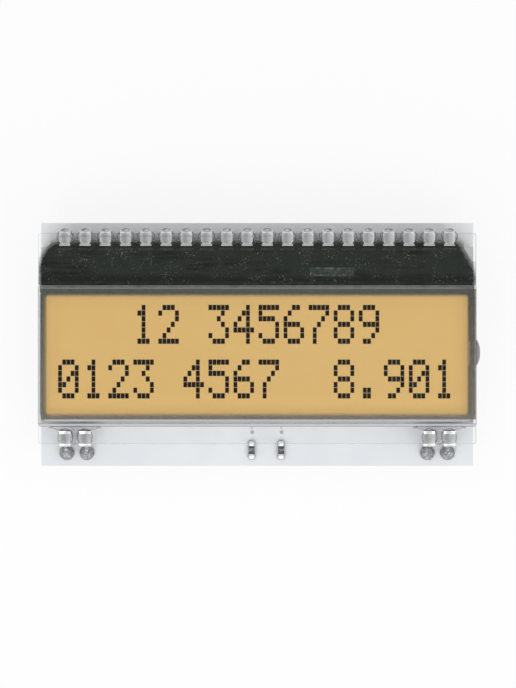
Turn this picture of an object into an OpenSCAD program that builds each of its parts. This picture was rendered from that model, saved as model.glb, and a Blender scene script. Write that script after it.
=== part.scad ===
// A two-line character display: liquid crystal glass with edge-clip pins on an amber backlight board.
// Units are millimetres. X runs along the lines of characters, Y towards the long row of pins, and Z
// out of the display face. The origin is the centre of the backlight board's underside, which is the
// face that lies on the carrier board when the pins are soldered.

/* [Glass] */
// Width of both glass plates
glass_w = 55; // [53:0.5:75]
// Height of the rear glass plate, which carries the chip and all pins
rear_glass_h = 26.5; // [24:0.1:40]
// Thickness of each glass plate
glass_t = 0.7; // [0.5:0.05:1.1]
// Height of the bare ledge above the front glass, for the chip and the long row of pins
top_ledge = 6.55; // [5.5:0.05:9]
// Height of the bare ledge below the front glass, for the corner pins
bottom_ledge = 2.2; // [2.1:0.05:4]
// Radius of the corners of the glass plates
glass_corner_r = 0.35; // [0.1:0.05:0.8]
// Width of the ground bevel along the lower edge of the front glass
bevel_w = 0.34; // [0.1:0.02:0.5]

/* [Liquid crystal cell] */
// Distance from the side edges of the glass to the window
window_side = 1; // [0.9:0.05:3]
// Distance from the upper edge of the front glass to the window
window_top = 1.2; // [1:0.05:3]
// Distance from the lower edge of the front glass to the window
window_bottom = 1.42; // [1:0.02:3]
// Width of the printed seal around the window
seal_w = 0.8; // [0.5:0.05:0.85]
// Inner corner radius of the seal
seal_corner_r = 0.4; // [0.1:0.05:0.8]
// Height of the cell between the plates
cell_gap = 0.05; // [0.04:0.01:0.1]
// Width of the filling port in the right side of the seal
port_w = 3; // [2:0.1:4]
// Distance of the filling port's middle below the window's middle
port_drop = -0.3; // [-3:0.1:3]
// Length of the small support island in the filling port
port_island_l = 1.4; // [0.6:0.1:1.6]
// Width of the small support island in the filling port
port_island_w = 0.55; // [0.3:0.05:0.6]
// How far the resin plug stands out of the glass edge
plug_depth = 0.5; // [0.3:0.05:1]
// Length of the resin plug along the glass edge
plug_l = 3.3; // [3.1:0.1:5]

/* [Polarisers] */
// Thickness of the front polariser
front_film_t = 0.25; // [0.15:0.01:0.3]
// Bare glass left of the front polariser
film_left = 0.4; // [0.1:0.05:0.9]
// Bare glass right of the front polariser
film_right = 0.1; // [0.1:0.05:0.9]
// Bare glass above the front polariser
film_top = 0.5; // [0.1:0.05:0.9]
// Bare glass below the front polariser
film_bottom = 0.9; // [0.6:0.05:1.2]
// Thickness of the rear polariser
rear_film_t = 0.2; // [0.15:0.01:0.3]
// Bare glass around the rear polariser, inside the front glass outline
rear_film_margin = 0.3; // [0.1:0.05:0.9]

/* [Driver chip and coating] */
// Length of the driver chip
chip_l = 5.4; // [4:0.1:8]
// Width of the driver chip
chip_w = 1; // [0.8:0.1:2]
// Thickness of the driver chip
chip_t = 0.42; // [0.3:0.02:0.5]
// Distance of the chip's middle right of the display's middle
chip_x = 9.35; // [-15:0.05:15]
// Distance from the front glass to the chip
chip_gap = 1.2; // [0.8:0.05:1.6]
// Thickness of the black coating on the ledge
coat_t = 0.34; // [0.26:0.02:0.4]
// Thickness of the coating where it climbs the front glass
coat_rise = 0.16; // [0.05:0.01:0.2]
// Skin of coating on the chip
coat_skin = 0.06; // [0.04:0.01:0.12]
// Distance of the coating's ends from the sides of the glass
coat_side = 0.15; // [0.1:0.05:1]
// How far the coating runs up between the clips
coat_lobe = 1.05; // [0.5:0.05:1.1]

/* [Pins] */
// Distance between neighbouring pins
pitch = 2.54; // [2.5:0.01:2.6]
// Pins along the upper edge
top_pins = 20; // [10:1:20]
// Pins at each end of the lower edge
corner_pins = 2; // [1:1:2]
// Thickness of the pin strip
pin_t = 0.25; // [0.2:0.01:0.3]
// Width of the clip head
head_w = 1.4; // [1.2:0.05:1.6]
// Width of the pin's leg
leg_w = 0.5; // [0.4:0.02:0.6]
// Length of the legs below the board
leg_l = 3.2; // [2:0.1:6]
// How far the upper finger reaches over the glass
finger_reach = 1.75; // [1.6:0.05:2]
// Clearance between the clip's back and the glass edge
edge_gap = 0.08; // [0.05:0.01:0.12]
// Width of the tongue that presses on the underside of the glass
tongue_w = 0.6; // [0.4:0.05:0.7]
// Slot on each side of the tongue
tongue_slot = 0.06; // [0.04:0.01:0.1]
// How far the legs of the corner pins step out from the clip
corner_step = 1.03; // [0.9:0.01:1.6]
// Radius of the clear adhesive bead around the clips
bead_r = 0.5; // [0.4:0.01:0.52]
// Radius of the ball of clear adhesive around each clip
dome_r = 1.1; // [1:0.05:1.15]

/* [Backlight] */
// Thickness of the backlight board
board_t = 1; // [0.8:0.1:1.6]
// How far the board's ends stop short of the glass
board_inset = 0.1; // [0:0.05:1]
// Board above the long row of pins
board_top = 1.2; // [0.9:0.05:3]
// Board below the corner pins
board_bottom = 1.66; // [1.2:0.02:4]
// Diameter of the pin holes in the board
hole_d = 0.9; // [0.75:0.05:1]
// Thickness of the reflector film
reflector_t = 0.1; // [0.05:0.05:0.2]
// Thickness of the light guide
guide_t = 2.6; // [2.4:0.1:4]
// Distance of the light guide's ends from the sides of the glass
guide_side = 0.3; // [0.2:0.05:0.9]
// Thickness of the diffuser film
diffuser_t = 0.15; // [0.1:0.05:0.3]
// Length of each light-emitting diode along the guide's end
led_l = 1.6; // [1.2:0.1:2.4]
// Depth of each light-emitting diode
led_d = 0.8; // [0.6:0.1:1]
// Height of each light-emitting diode
led_h = 0.6; // [0.4:0.1:1.2]
// Light-emitting diodes at each end of the guide
leds_per_end = 2; // [1:1:2]
// Clearance around each light-emitting diode in its notch
led_gap = 0.1; // [0.05:0.05:0.3]

/* [Solder and resistors] */
// Radius of the solder domes on the corner pins
solder_r = 0.94; // [0.8:0.02:1]
// Length of each chip resistor
resistor_l = 1.6; // [1.2:0.1:2]
// Width of each chip resistor
resistor_w = 0.8; // [0.6:0.1:1]
// Height of each chip resistor
resistor_h = 0.45; // [0.35:0.05:0.6]
// Length of the metal end caps
cap_l = 0.3; // [0.2:0.05:0.4]
// Length of the solder fillets at the ends
fillet_l = 0.45; // [0.3:0.05:0.6]
// Distance of the left resistor's middle from the board's middle
resistor_left_x = -0.71; // [-10:0.01:1]
// Distance of the right resistor's middle from the board's middle
resistor_right_x = 3.03; // [2.5:0.01:10]
// Distance of the resistors' middle above the board's lower edge
resistor_up = 2; // [1.5:0.1:2.4]

/* [Hidden] */
$fn = 48;
eps = 0.01;
board_corner_r = 0.1;

// Levels, from the board's underside upwards
z_reflector = board_t;
z_guide = z_reflector + reflector_t;
z_diffuser = z_guide + guide_t;
z_rear_film = z_diffuser + diffuser_t;
z_rear_glass = z_rear_film + rear_film_t;
z_ledge = z_rear_glass + glass_t;
z_front_glass = z_ledge + cell_gap;
z_front_film = z_front_glass + glass_t;

// Lines across the display, from the board's middle
clip_depth = edge_gap + pin_t / 2;
row_gap = rear_glass_h + 2 * clip_depth + corner_step;
board_w = glass_w - 2 * board_inset;
board_h = row_gap + board_top + board_bottom;
y_top_row = board_h / 2 - board_top;
y_bottom_row = y_top_row - row_gap;
y_glass_top = y_top_row - clip_depth;
y_glass_bottom = y_glass_top - rear_glass_h;
y_front_top = y_glass_top - top_ledge;
y_front_bottom = y_glass_bottom + bottom_ledge;
y_window_top = y_front_top - window_top;
y_window_bottom = y_front_bottom + window_bottom;
y_port = (y_window_top + y_window_bottom) / 2 - port_drop;
y_chip = y_front_top + chip_gap + chip_w / 2;
y_coat_top = y_glass_top - finger_reach - 0.1;
x_glass = glass_w / 2;
x_window = x_glass - window_side;
x_coat = x_glass - coat_side;
// The adhesive's bead and balls have their centres below the ledge, and the coating's lobes stop
// short of the bead
bead_sink = 0.2;
dome_sink = dome_r / 2;
dome_back = 0.45;
bead_reach = bead_r / 2 + sqrt(pow(bead_r, 2) - pow(bead_sink, 2));
y_lobe_top = min(y_coat_top + coat_lobe, y_glass_top - bead_reach - 0.05);

// The clip's bends: the upper finger folds over, slopes down to the glass and curls up at its tip
fold_r = 0.3;
fold_slope = 10;
curl_r = 0.35;
curl_angle = 35;
curl_tip_l = 0.3;
finger_l = (finger_reach + clip_depth - fold_r * (1 + sin(fold_slope))
    - curl_r * (sin(fold_slope) + sin(curl_angle)) - curl_tip_l * cos(curl_angle)
    - pin_t / 2 * sin(curl_angle)) / cos(fold_slope);
// Where the fold begins, so that the lowest point of the curl rests on the glass
z_fold = z_ledge + pin_t / 2 - fold_r * cos(fold_slope) + finger_l * sin(fold_slope)
    + curl_r * (1 - cos(fold_slope));
// The tongue is lanced out of the clip's back and bears on the underside of the rear glass
tongue_bend_r = 0.25;
tongue_angle = 45;
knee_r = 0.3;
knee_angle = 60;
tongue_tip_l = 0.15;
body_h = 2.2;
z_body = z_fold - body_h;
z_tongue = z_body + 0.35;
tongue_l = (z_rear_glass - pin_t / 2 - knee_r * (1 - cos(tongue_angle)) - z_tongue
    - tongue_bend_r * sin(tongue_angle)) / sin(tongue_angle);
window_l = z_fold - 0.1 - z_tongue;
window_w = tongue_w + 2 * tongue_slot;
shoulder_h = (head_w - leg_w) / 2;
z_leg = z_body - shoulder_h;
tip_taper = 0.2;
// The corner pins' legs step out by two equal bends
step_r = 0.25;
step_angle = 75;
step_l = (corner_step - 2 * step_r * (1 - cos(step_angle))) / sin(step_angle);
step_drop = 2 * step_r * sin(step_angle) + step_l * cos(step_angle);

// The light guide stays clear of the tongues under both edges of the glass
guide_bottom = y_front_bottom + 0.1;
guide_top = y_glass_top - finger_reach;
guide_h = guide_top - guide_bottom;
guide_w = glass_w - 2 * guide_side;
notch_d = led_d + led_gap;
notch_l = led_l + 2 * led_gap;

// Pin numbers run along the lower edge and back along the upper edge, as on a dual in-line part
LOWER = [for (i = [1:top_pins]) if (i <= corner_pins || i > top_pins - corner_pins) i];
UPPER = [for (i = [top_pins + 1:2 * top_pins]) i];
LEDS = [for (i = [1:2 * leds_per_end]) i];
RESISTORS = [1, 2];

function pin_x(i) = (i <= top_pins ? i - 1 : 2 * top_pins - i) * pitch - (top_pins - 1) * pitch / 2;
function led_side(i) = i <= leds_per_end ? -1 : 1;
function led_y(i) = guide_bottom + guide_h * (((i - 1) % leds_per_end) + 0.5) / leds_per_end;
function resistor_x(i) = i == 1 ? resistor_left_x : resistor_right_x;

// A rectangle from one corner to the other with rounded corners
module rounded_area(from, to, r) {
    translate(from) {
        translate([r, 0]) square([to.x - from.x - 2 * r, to.y - from.y]);
        translate([0, r]) square([to.x - from.x, to.y - from.y - 2 * r]);
        for (x = [r, to.x - from.x - r], y = [r, to.y - from.y - r]) translate([x, y]) circle(r);
    }
}

// A slab between two corners, from z up by t, with rounded corners
module rounded_slab(from, to, z, t, r) {
    translate([0, 0, z]) linear_extrude(t) rounded_area(from, to, r);
}

// A section drawn in Y and Z, extruded along X between two places
module along_x(x0, x1) {
    translate([x0, 0, 0]) rotate([90, 0, 90]) linear_extrude(x1 - x0) children();
}

// A flat strip that starts at the origin and runs along Y. Each step is [0, length] for a straight
// or [radius, angle] for a bend about X, upwards where the angle is positive.
module strip(w, t, steps, i = 0) {
    if (i < len(steps)) {
        r = steps[i][0];
        a = steps[i][1];
        side = sign(a);
        if (r == 0) {
            translate([-w / 2, 0, -t / 2]) cube([w, a, t]);
            translate([0, a, 0]) strip(w, t, steps, i + 1);
        } else {
            translate([0, 0, side * r]) {
                rotate([0, side * 90, 0]) rotate_extrude(angle = abs(a))
                    translate([r - t / 2, -w / 2]) square([t, w]);
                rotate([a, 0, 0]) translate([0, 0, -side * r]) strip(w, t, steps, i + 1);
            }
        }
    }
}

// The part of a clip that grips the glass. Y = 0 is the glass edge, and +Y points over the glass.
module clip_head() {
    // upper finger
    translate([0, -clip_depth, z_fold]) rotate([90, 0, 0])
        strip(head_w, pin_t, [[fold_r, -90 - fold_slope], [0, finger_l],
            [curl_r, fold_slope + curl_angle], [0, curl_tip_l]]);
    // back, with the slot that the tongue is cut from, and the shoulders down to the leg
    translate([0, -clip_depth + pin_t / 2, 0]) rotate([90, 0, 0]) linear_extrude(pin_t) difference() {
        polygon([[-leg_w / 2, z_leg], [leg_w / 2, z_leg], [head_w / 2, z_body], [head_w / 2, z_fold],
            [-head_w / 2, z_fold], [-head_w / 2, z_body]]);
        translate([-window_w / 2, z_tongue]) square([window_w, window_l]);
    }
    // tongue
    translate([0, -clip_depth, z_tongue]) rotate([90, 0, 0])
        strip(tongue_w, pin_t, [[tongue_bend_r, tongue_angle - 90], [0, tongue_l],
            [knee_r, -knee_angle], [0, tongue_tip_l]]);
}

// The leg from a height down to its tapered tip below the board
module leg(z_from) {
    translate([0, pin_t / 2, 0]) rotate([90, 0, 0]) linear_extrude(pin_t)
        polygon([[-leg_w / 2, z_from], [leg_w / 2, z_from], [leg_w / 2, tip_taper - leg_l],
            [leg_w / 4, -leg_l], [-leg_w / 4, -leg_l], [-leg_w / 2, tip_taper - leg_l]]);
}

module straight_pin() {
    clip_head();
    translate([0, -clip_depth, 0]) leg(z_leg);
}

module stepped_pin() {
    clip_head();
    translate([0, -clip_depth, z_leg]) rotate([-90, 0, 0])
        strip(leg_w, pin_t, [[step_r, -step_angle], [0, step_l], [step_r, step_angle]]);
    translate([0, -clip_depth - corner_step, 0]) leg(z_leg - step_drop);
}

module at_top_edge(i) {
    translate([pin_x(i), y_glass_top, 0]) rotate(180) children();
}

module at_bottom_edge(i) {
    translate([pin_x(i), y_glass_bottom, 0]) children();
}

module upper_pin(i) {
    color("silver") at_top_edge(i) straight_pin();
}

module lower_pin(i) {
    color("silver") at_bottom_edge(i) stepped_pin();
}

// --- backlight ---

module backlight_board() {
    color("white") difference() {
        rounded_slab([-board_w / 2, -board_h / 2], [board_w / 2, board_h / 2], 0, board_t, board_corner_r);
        for (i = UPPER) translate([pin_x(i), y_top_row, -eps]) cylinder(d = hole_d, h = board_t + 2 * eps);
        for (i = LOWER) translate([pin_x(i), y_bottom_row, -eps]) cylinder(d = hole_d, h = board_t + 2 * eps);
    }
}

// The outline shared by the light guide and the two films, with a notch for each diode
module guide_area() {
    difference() {
        translate([-guide_w / 2, guide_bottom]) square([guide_w, guide_h]);
        for (i = LEDS) translate([led_side(i) * guide_w / 2, led_y(i)])
            square([2 * notch_d, notch_l], center = true);
    }
}

module reflector_film() {
    color("whitesmoke") translate([0, 0, z_reflector]) linear_extrude(reflector_t) guide_area();
}

module light_guide() {
    color("ivory") translate([0, 0, z_guide]) linear_extrude(guide_t) guide_area();
}

module diffuser_film() {
    color("white") translate([0, 0, z_diffuser]) linear_extrude(diffuser_t)
        translate([-guide_w / 2, guide_bottom]) square([guide_w, guide_h]);
}

// A side-emitting diode on the board, its lens towards the middle of the guide
module led(i) {
    lens_r = led_h / 2;
    lens_l = led_l - 0.4;
    base_d = led_d - lens_r;
    color("orange") translate([led_side(i) * guide_w / 2, led_y(i), z_reflector])
        rotate(led_side(i) > 0 ? 180 : 0) {
            translate([0, -led_l / 2, 0]) cube([base_d, led_l, led_h]);
            translate([base_d, lens_l / 2, lens_r]) rotate([90, 0, 0]) cylinder(r = lens_r, h = lens_l);
        }
}

// --- solder and resistors ---

module resistor(i) {
    cap_proud = 0.02;
    cap_corner = 0.04;
    color("dimgray") translate([resistor_x(i), -board_h / 2 + resistor_up, board_t]) {
        translate([-resistor_w / 2, -resistor_l / 2 + cap_l, cap_proud])
            cube([resistor_w, resistor_l - 2 * cap_l, resistor_h - 2 * cap_proud]);
        for (s = [-1, 1]) translate([0, s * (resistor_l - cap_l) / 2, resistor_h / 2])
            rotate([90, 0, 90]) translate([0, 0, -resistor_w / 2]) linear_extrude(resistor_w)
                rounded_area([-cap_l / 2, -resistor_h / 2], [cap_l / 2, resistor_h / 2], cap_corner);
    }
}

// A hollow fillet of solder from each end cap down to the board, rounded in plan
module resistor_solder(i) {
    fillet_h = resistor_h * 0.8;
    fillet_r = fillet_l * 0.93;
    fillet_foot = 0.06;
    half_w = resistor_w / 2 + 0.05;
    corner_r = 0.9 * fillet_l;
    color("silver") translate([resistor_x(i), -board_h / 2 + resistor_up, board_t])
        for (s = [0, 180]) rotate(s) translate([0, resistor_l / 2, 0]) intersection() {
            along_x(-half_w, half_w) difference() {
                square([fillet_l, fillet_h]);
                translate([fillet_l, fillet_h + fillet_foot]) circle(fillet_r);
            }
            linear_extrude(fillet_h) rounded_area([-half_w, -2 * fillet_l], [half_w, fillet_l], corner_r);
        }
}

// A dome of solder on the board that fills the hole around a corner pin
module solder_joint(i) {
    dome_rise = 0.05;
    color("darkgray") difference() {
        translate([pin_x(i), y_bottom_row, 0]) {
            cylinder(d = hole_d, h = board_t);
            translate([0, 0, board_t]) intersection() {
                translate([0, 0, dome_rise]) sphere(solder_r);
                cylinder(r = solder_r, h = 2 * solder_r);
            }
        }
        at_bottom_edge(i) stepped_pin();
    }
}

// --- liquid crystal cell ---

module rear_polariser() {
    m = rear_film_margin;
    color("darkkhaki") translate([-x_glass + m, y_front_bottom + m, z_rear_film])
        cube([glass_w - 2 * m, y_front_top - y_front_bottom - 2 * m, rear_film_t]);
}

module rear_glass() {
    color("lightcyan") rounded_slab([-x_glass, y_glass_bottom], [x_glass, y_glass_top], z_rear_glass,
        glass_t, glass_corner_r);
}

module window_area(grow) {
    rounded_area([-x_window - grow, y_window_bottom - grow], [x_window + grow, y_window_top + grow],
        seal_corner_r + grow);
}

// The filling port between two distances from the window's right side
module port_area(from, to) {
    translate([x_window + from, y_port - port_w / 2]) square([to - from, port_w]);
}

module port_island_area() {
    island_r = 0.4 * port_island_w;
    translate([x_window + seal_w - port_island_w, y_port - port_island_l / 2])
        rounded_area([0, 0], [port_island_w, port_island_l], island_r);
}

// The frame of resin that holds the plates together, open at the filling port
module seal_ring() {
    color("dimgray") translate([0, 0, z_ledge]) linear_extrude(cell_gap) {
        difference() {
            window_area(seal_w);
            window_area(0);
            port_area(-eps, seal_w + eps);
        }
        port_island_area();
    }
}

module liquid_crystal() {
    color("goldenrod") translate([0, 0, z_ledge]) linear_extrude(cell_gap) difference() {
        union() {
            window_area(0);
            port_area(-eps, seal_w);
        }
        port_island_area();
    }
}

// The front plate: a bevelled section along X, with rounded corners
module front_glass() {
    color("lightcyan") intersection() {
        along_x(-x_glass, x_glass) polygon([[y_front_bottom, z_front_glass], [y_front_top, z_front_glass],
            [y_front_top, z_front_film], [y_front_bottom + bevel_w, z_front_film],
            [y_front_bottom, z_front_film - bevel_w]]);
        rounded_slab([-x_glass, y_front_bottom], [x_glass, y_front_top], z_front_glass, glass_t,
            glass_corner_r);
    }
}

module front_polariser() {
    color("goldenrod") translate([-x_glass + film_left, y_front_bottom + film_bottom, z_front_film])
        cube([glass_w - film_left - film_right, y_front_top - y_front_bottom - film_top - film_bottom,
            front_film_t]);
}

// Radius of an arc that stands up by rise over a chord
function arc_radius(chord, rise) = (pow(chord / 2, 2) + pow(rise, 2)) / (2 * rise);

// The resin drop on the glass edge that closes the filling port, with its tongue between the plates
module end_plug() {
    plug_h = 2 * glass_t + cell_gap - 0.1;
    plan_r = arc_radius(plug_l, plug_depth);
    side_r = arc_radius(plug_h, plug_depth);
    z_mid = z_ledge + cell_gap / 2;
    color("gray") {
        intersection() {
            translate([x_glass + plug_depth - plan_r, y_port, z_mid - plug_h / 2])
                cylinder(r = plan_r, h = plug_h);
            translate([x_glass + plug_depth - side_r, y_port + plug_l / 2, z_mid]) rotate([90, 0, 0])
                cylinder(r = side_r, h = plug_l);
            translate([x_glass, y_port - plug_l / 2, z_mid - plug_h / 2])
                cube([plug_depth, plug_l, plug_h]);
        }
        translate([0, 0, z_ledge]) linear_extrude(cell_gap) port_area(seal_w, window_side + eps);
    }
}

// --- driver chip and its coating ---

module driver_chip() {
    color("dimgray") translate([chip_x - chip_l / 2, y_chip - chip_w / 2, z_ledge])
        cube([chip_l, chip_w, chip_t]);
}

// The coating's outline on the ledge: its slanted right end, its cut left corner, and lobes that run
// up between the clips and beside the outermost ones
module coating_area() {
    slant_from = 2.3;
    corner = [0.45, 0.3];
    corner_drop = 1.2;
    lobe_w = 0.9;
    lobe_l = y_lobe_top - y_coat_top;
    x_lobe = pin_x(UPPER[0]) + pitch / 2;
    y_shoulder = y_lobe_top - 0.1;
    polygon([[-x_coat, y_front_top], [x_coat, y_front_top], [x_coat, y_front_top + slant_from],
        [x_lobe, y_shoulder], [x_lobe, y_coat_top], [-x_lobe, y_coat_top], [-x_lobe, y_shoulder],
        [-x_coat + corner.x, y_coat_top - corner.y], [-x_coat, y_coat_top - corner_drop]]);
    for (i = [0:top_pins]) translate([x_lobe - i * pitch, y_coat_top]) {
        translate([-lobe_w / 2, -eps]) square([lobe_w, lobe_l - lobe_w / 2 + eps]);
        translate([0, lobe_l - lobe_w / 2]) circle(lobe_w / 2);
    }
}

// Height of the coating above the ledge at a share of its way from the front glass to the clips
function coat_height(s) = coat_rise * pow(1 - s, 6) + coat_t * pow(1 - pow(s, 3), 0.5);

module coating_section() {
    n = 16;
    beyond = 0.3;
    reach = y_lobe_top + beyond - y_front_top;
    polygon(concat([[y_front_top, z_ledge]],
        [for (k = [0:n - 1]) [y_front_top + reach * k / n, z_ledge + coat_height(k / n)]],
        [[y_front_top + reach, z_ledge]]));
}

// A block with its edges rounded in all three views
module soft_block(size, r) {
    half = size / 2;
    intersection() {
        rounded_slab([-half.x, -half.y], [half.x, half.y], 0, size.z, r);
        rotate([90, 0, 90]) translate([0, 0, -half.x]) linear_extrude(size.x)
            rounded_area([-half.y, -size.z], [half.y, size.z], r);
        rotate([90, 0, 0]) translate([0, 0, -half.y]) linear_extrude(size.y)
            rounded_area([-half.x, -size.z], [half.x, size.z], r);
    }
}

module chip_coating() {
    cover = [chip_l + 2 * coat_skin, chip_w + 2 * coat_skin, chip_t + coat_skin];
    cover_r = 0.1;
    color("darkslategray") difference() {
        union() {
            intersection() {
                translate([0, 0, z_ledge]) linear_extrude(1) coating_area();
                along_x(-x_coat, x_coat) coating_section();
            }
            translate([chip_x, y_chip, z_ledge]) soft_block(cover, cover_r);
        }
        translate([chip_x - chip_l / 2, y_chip - chip_w / 2, z_ledge - eps])
            cube([chip_l, chip_w, chip_t + eps]);
    }
}

// --- clear adhesive ---

// The bead's section around a glass edge: Y = 0 is the edge, +Y over the glass
module bead_section() {
    difference() {
        translate([bead_r / 2, z_ledge - bead_sink]) circle(bead_r);
        translate([-bead_r, z_rear_glass - 1]) square([2 * bead_r, 1]);
        translate([0, z_rear_glass - eps]) square([2 * bead_r, glass_t + eps]);
    }
}

// The ball of adhesive that grips both sides and the back of one clip, cut off by the glass and open
// over the finger: Y = 0 is the edge, +Y over the glass
module glue_dome() {
    half_w = dome_r + eps;
    back = clip_depth + pin_t / 2;
    difference() {
        translate([0, dome_back, z_ledge - dome_sink]) sphere(dome_r);
        translate([-half_w, -dome_r, z_rear_glass - 2 * dome_r]) cube([2 * half_w, 3 * dome_r, 2 * dome_r]);
        translate([-half_w, 0, z_rear_glass - eps]) cube([2 * half_w, 2 * dome_r, glass_t + eps]);
        translate([-head_w / 2, -back, z_ledge]) cube([head_w, back + 2 * dome_r, 2 * dome_r]);
    }
}

module pin_glue_top() {
    overrun = 0.35;
    run = (top_pins - 1) * pitch / 2 + head_w / 2 + overrun;
    color("azure") difference() {
        union() {
            translate([0, y_glass_top, 0]) rotate(180) along_x(-run, run) bead_section();
            for (i = UPPER) at_top_edge(i) glue_dome();
        }
        for (i = UPPER) at_top_edge(i) clip_head();
    }
}

// The blob around the corner pins, with a pillow that runs up to the front glass
module corner_glue(pins) {
    overrun = 0.4;
    x_first = pin_x(pins[0]) - head_w / 2 - overrun;
    x_last = pin_x(pins[len(pins) - 1]) + head_w / 2 + overrun;
    pillow_r = 6;
    pillow_rise = 0.3;
    pillow_back = 0.3;
    pillow_side = 0.6;
    color("azure") difference() {
        union() {
            translate([0, y_glass_bottom, 0]) along_x(x_first, x_last) bead_section();
            for (i = pins) at_bottom_edge(i) glue_dome();
            intersection() {
                rounded_slab([x_first - pillow_side, y_glass_bottom + pillow_back],
                    [x_last + pillow_side, y_front_bottom], z_ledge, 1, pillow_side);
                translate([0, (y_glass_bottom + y_front_bottom) / 2, z_ledge + pillow_rise - pillow_r])
                    rotate([0, 90, 0]) cylinder(r = pillow_r, h = glass_w, center = true, $fn = 360);
            }
        }
        for (i = pins) at_bottom_edge(i) clip_head();
    }
}

module pin_glue_left() {
    corner_glue([for (i = LOWER) if (i <= corner_pins) i]);
}

module pin_glue_right() {
    corner_glue([for (i = LOWER) if (i > corner_pins) i]);
}

backlight_board();
reflector_film();
light_guide();
diffuser_film();
for (i = LEDS) led(i);
for (i = RESISTORS) resistor(i);
for (i = RESISTORS) resistor_solder(i);
for (i = LOWER) solder_joint(i);
rear_polariser();
rear_glass();
seal_ring();
liquid_crystal();
front_glass();
front_polariser();
end_plug();
driver_chip();
chip_coating();
pin_glue_top();
pin_glue_left();
pin_glue_right();
for (i = LOWER) lower_pin(i);
for (i = UPPER) upper_pin(i);
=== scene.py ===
"""Looks of a two-line character display: glass with edge-clip pins on a white backlight board.

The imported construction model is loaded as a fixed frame. Each sub-assembly is a class that takes its
places from the frame's nodes, builds or dresses its pieces in millimetres, and settles them in metres.
"""

from __future__ import annotations

import logging
import math
import re
from dataclasses import dataclass, field
from enum import Enum
from functools import reduce
from typing import Callable, Iterable, Sequence
import bpy
from mathutils import Matrix, Vector


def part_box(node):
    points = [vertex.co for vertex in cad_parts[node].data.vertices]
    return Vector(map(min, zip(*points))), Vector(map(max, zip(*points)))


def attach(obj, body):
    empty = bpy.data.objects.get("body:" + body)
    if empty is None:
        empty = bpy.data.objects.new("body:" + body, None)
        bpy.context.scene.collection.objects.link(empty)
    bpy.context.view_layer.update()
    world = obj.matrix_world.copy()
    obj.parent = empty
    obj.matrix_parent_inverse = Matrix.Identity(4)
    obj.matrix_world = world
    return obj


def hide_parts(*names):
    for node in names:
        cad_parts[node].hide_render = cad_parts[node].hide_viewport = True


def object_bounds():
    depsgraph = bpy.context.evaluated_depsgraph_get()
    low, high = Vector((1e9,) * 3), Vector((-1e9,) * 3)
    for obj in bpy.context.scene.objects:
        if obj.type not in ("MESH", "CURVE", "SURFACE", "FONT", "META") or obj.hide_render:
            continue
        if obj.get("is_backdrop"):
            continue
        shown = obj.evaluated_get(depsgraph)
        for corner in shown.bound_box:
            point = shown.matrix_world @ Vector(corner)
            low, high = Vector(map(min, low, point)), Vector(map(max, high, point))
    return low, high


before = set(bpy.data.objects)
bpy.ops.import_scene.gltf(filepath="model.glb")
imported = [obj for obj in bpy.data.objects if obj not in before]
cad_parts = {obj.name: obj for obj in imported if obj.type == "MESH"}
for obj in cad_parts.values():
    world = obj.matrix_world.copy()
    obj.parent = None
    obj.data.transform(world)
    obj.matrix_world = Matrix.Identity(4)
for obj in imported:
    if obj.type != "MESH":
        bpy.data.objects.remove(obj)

log = logging.getLogger("display")

MM = 0.001
ROOT = "root"
PIN_NAME = r"pin_\d+"
JOINT_NAME = "solder_joint_"
MERGE_DISTANCE = 0.001
FLAT_ANGLE = math.radians(1)
GLASS_IOR = 1.5
NOISE_SPAN = (0.3, 0.7)
UP, DOWN, LEFT, RIGHT = (0, 1), (0, -1), (-1, 0), (1, 0)

Piece = bpy.types.Object
Material = bpy.types.Material
Node = bpy.types.Node
Socket = bpy.types.NodeSocket
Colour = tuple[float, float, float]
Pair = tuple[float, float]
Triple = tuple[float, float, float]
# A line in the plane of the glass: a point on it, the direction inwards, and the distances inwards from
# it at which something starts and is whole
Edge = tuple[Pair, Pair, Pair]


class Side(Enum):
    """Which end of the display something belongs to."""

    LEFT = -1
    RIGHT = 1


def linear(*channels: float) -> Colour:
    """Turns red, green and blue from 0 to 255 into the linear colour that a shader takes."""
    shares = (channel / 255 for channel in channels)
    return tuple(share / 12.92 if share <= 0.04045 else ((share + 0.055) / 1.055) ** 2.4 for share in shares)


def scaled(colour: Colour, *factors: float) -> Colour:
    """A colour with its channels multiplied by one factor, or by one each."""
    return tuple(channel * factor for channel, factor in zip(colour, factors * 3))


@dataclass(frozen=True)
class Box:
    """A box in millimetres, from its lowest to its highest corner."""

    low: Vector
    high: Vector

    @classmethod
    def of(cls, node: str) -> Box:
        """The box of a node of the construction model."""
        low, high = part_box(node)
        return cls(low / MM, high / MM)

    @property
    def size(self) -> Vector:
        """Width, height and thickness."""
        return self.high - self.low

    @property
    def centre(self) -> Vector:
        """The middle of the box."""
        return (self.low + self.high) / 2


def pins_where(test: Callable[[Box], bool]) -> list[str]:
    """The pin nodes whose boxes pass a test, from left to right."""
    found = [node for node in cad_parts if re.fullmatch(PIN_NAME, node) and test(Box.of(node))]
    return sorted(found, key=lambda node: Box.of(node).centre.x)


def upper_pins() -> list[str]:
    """The long row of pins."""
    return pins_where(lambda box: box.centre.y > 0)


def lower_pins() -> list[str]:
    """The corner pins."""
    return pins_where(lambda box: box.centre.y < 0)


# --------------------------------------------------------------------------------------------------
# Modelling helpers
# --------------------------------------------------------------------------------------------------


def clear_choice() -> None:
    """Deselects everything, so that a new primitive is alone in the selection."""
    for other in bpy.context.selected_objects:
        other.select_set(False)


def choose(*pieces: Piece) -> None:
    """Selects only some objects and makes the first one active.

    Args:
        pieces: The objects.
    """
    clear_choice()
    for piece in pieces:
        piece.select_set(True)
    bpy.context.view_layer.objects.active = pieces[0]


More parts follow.
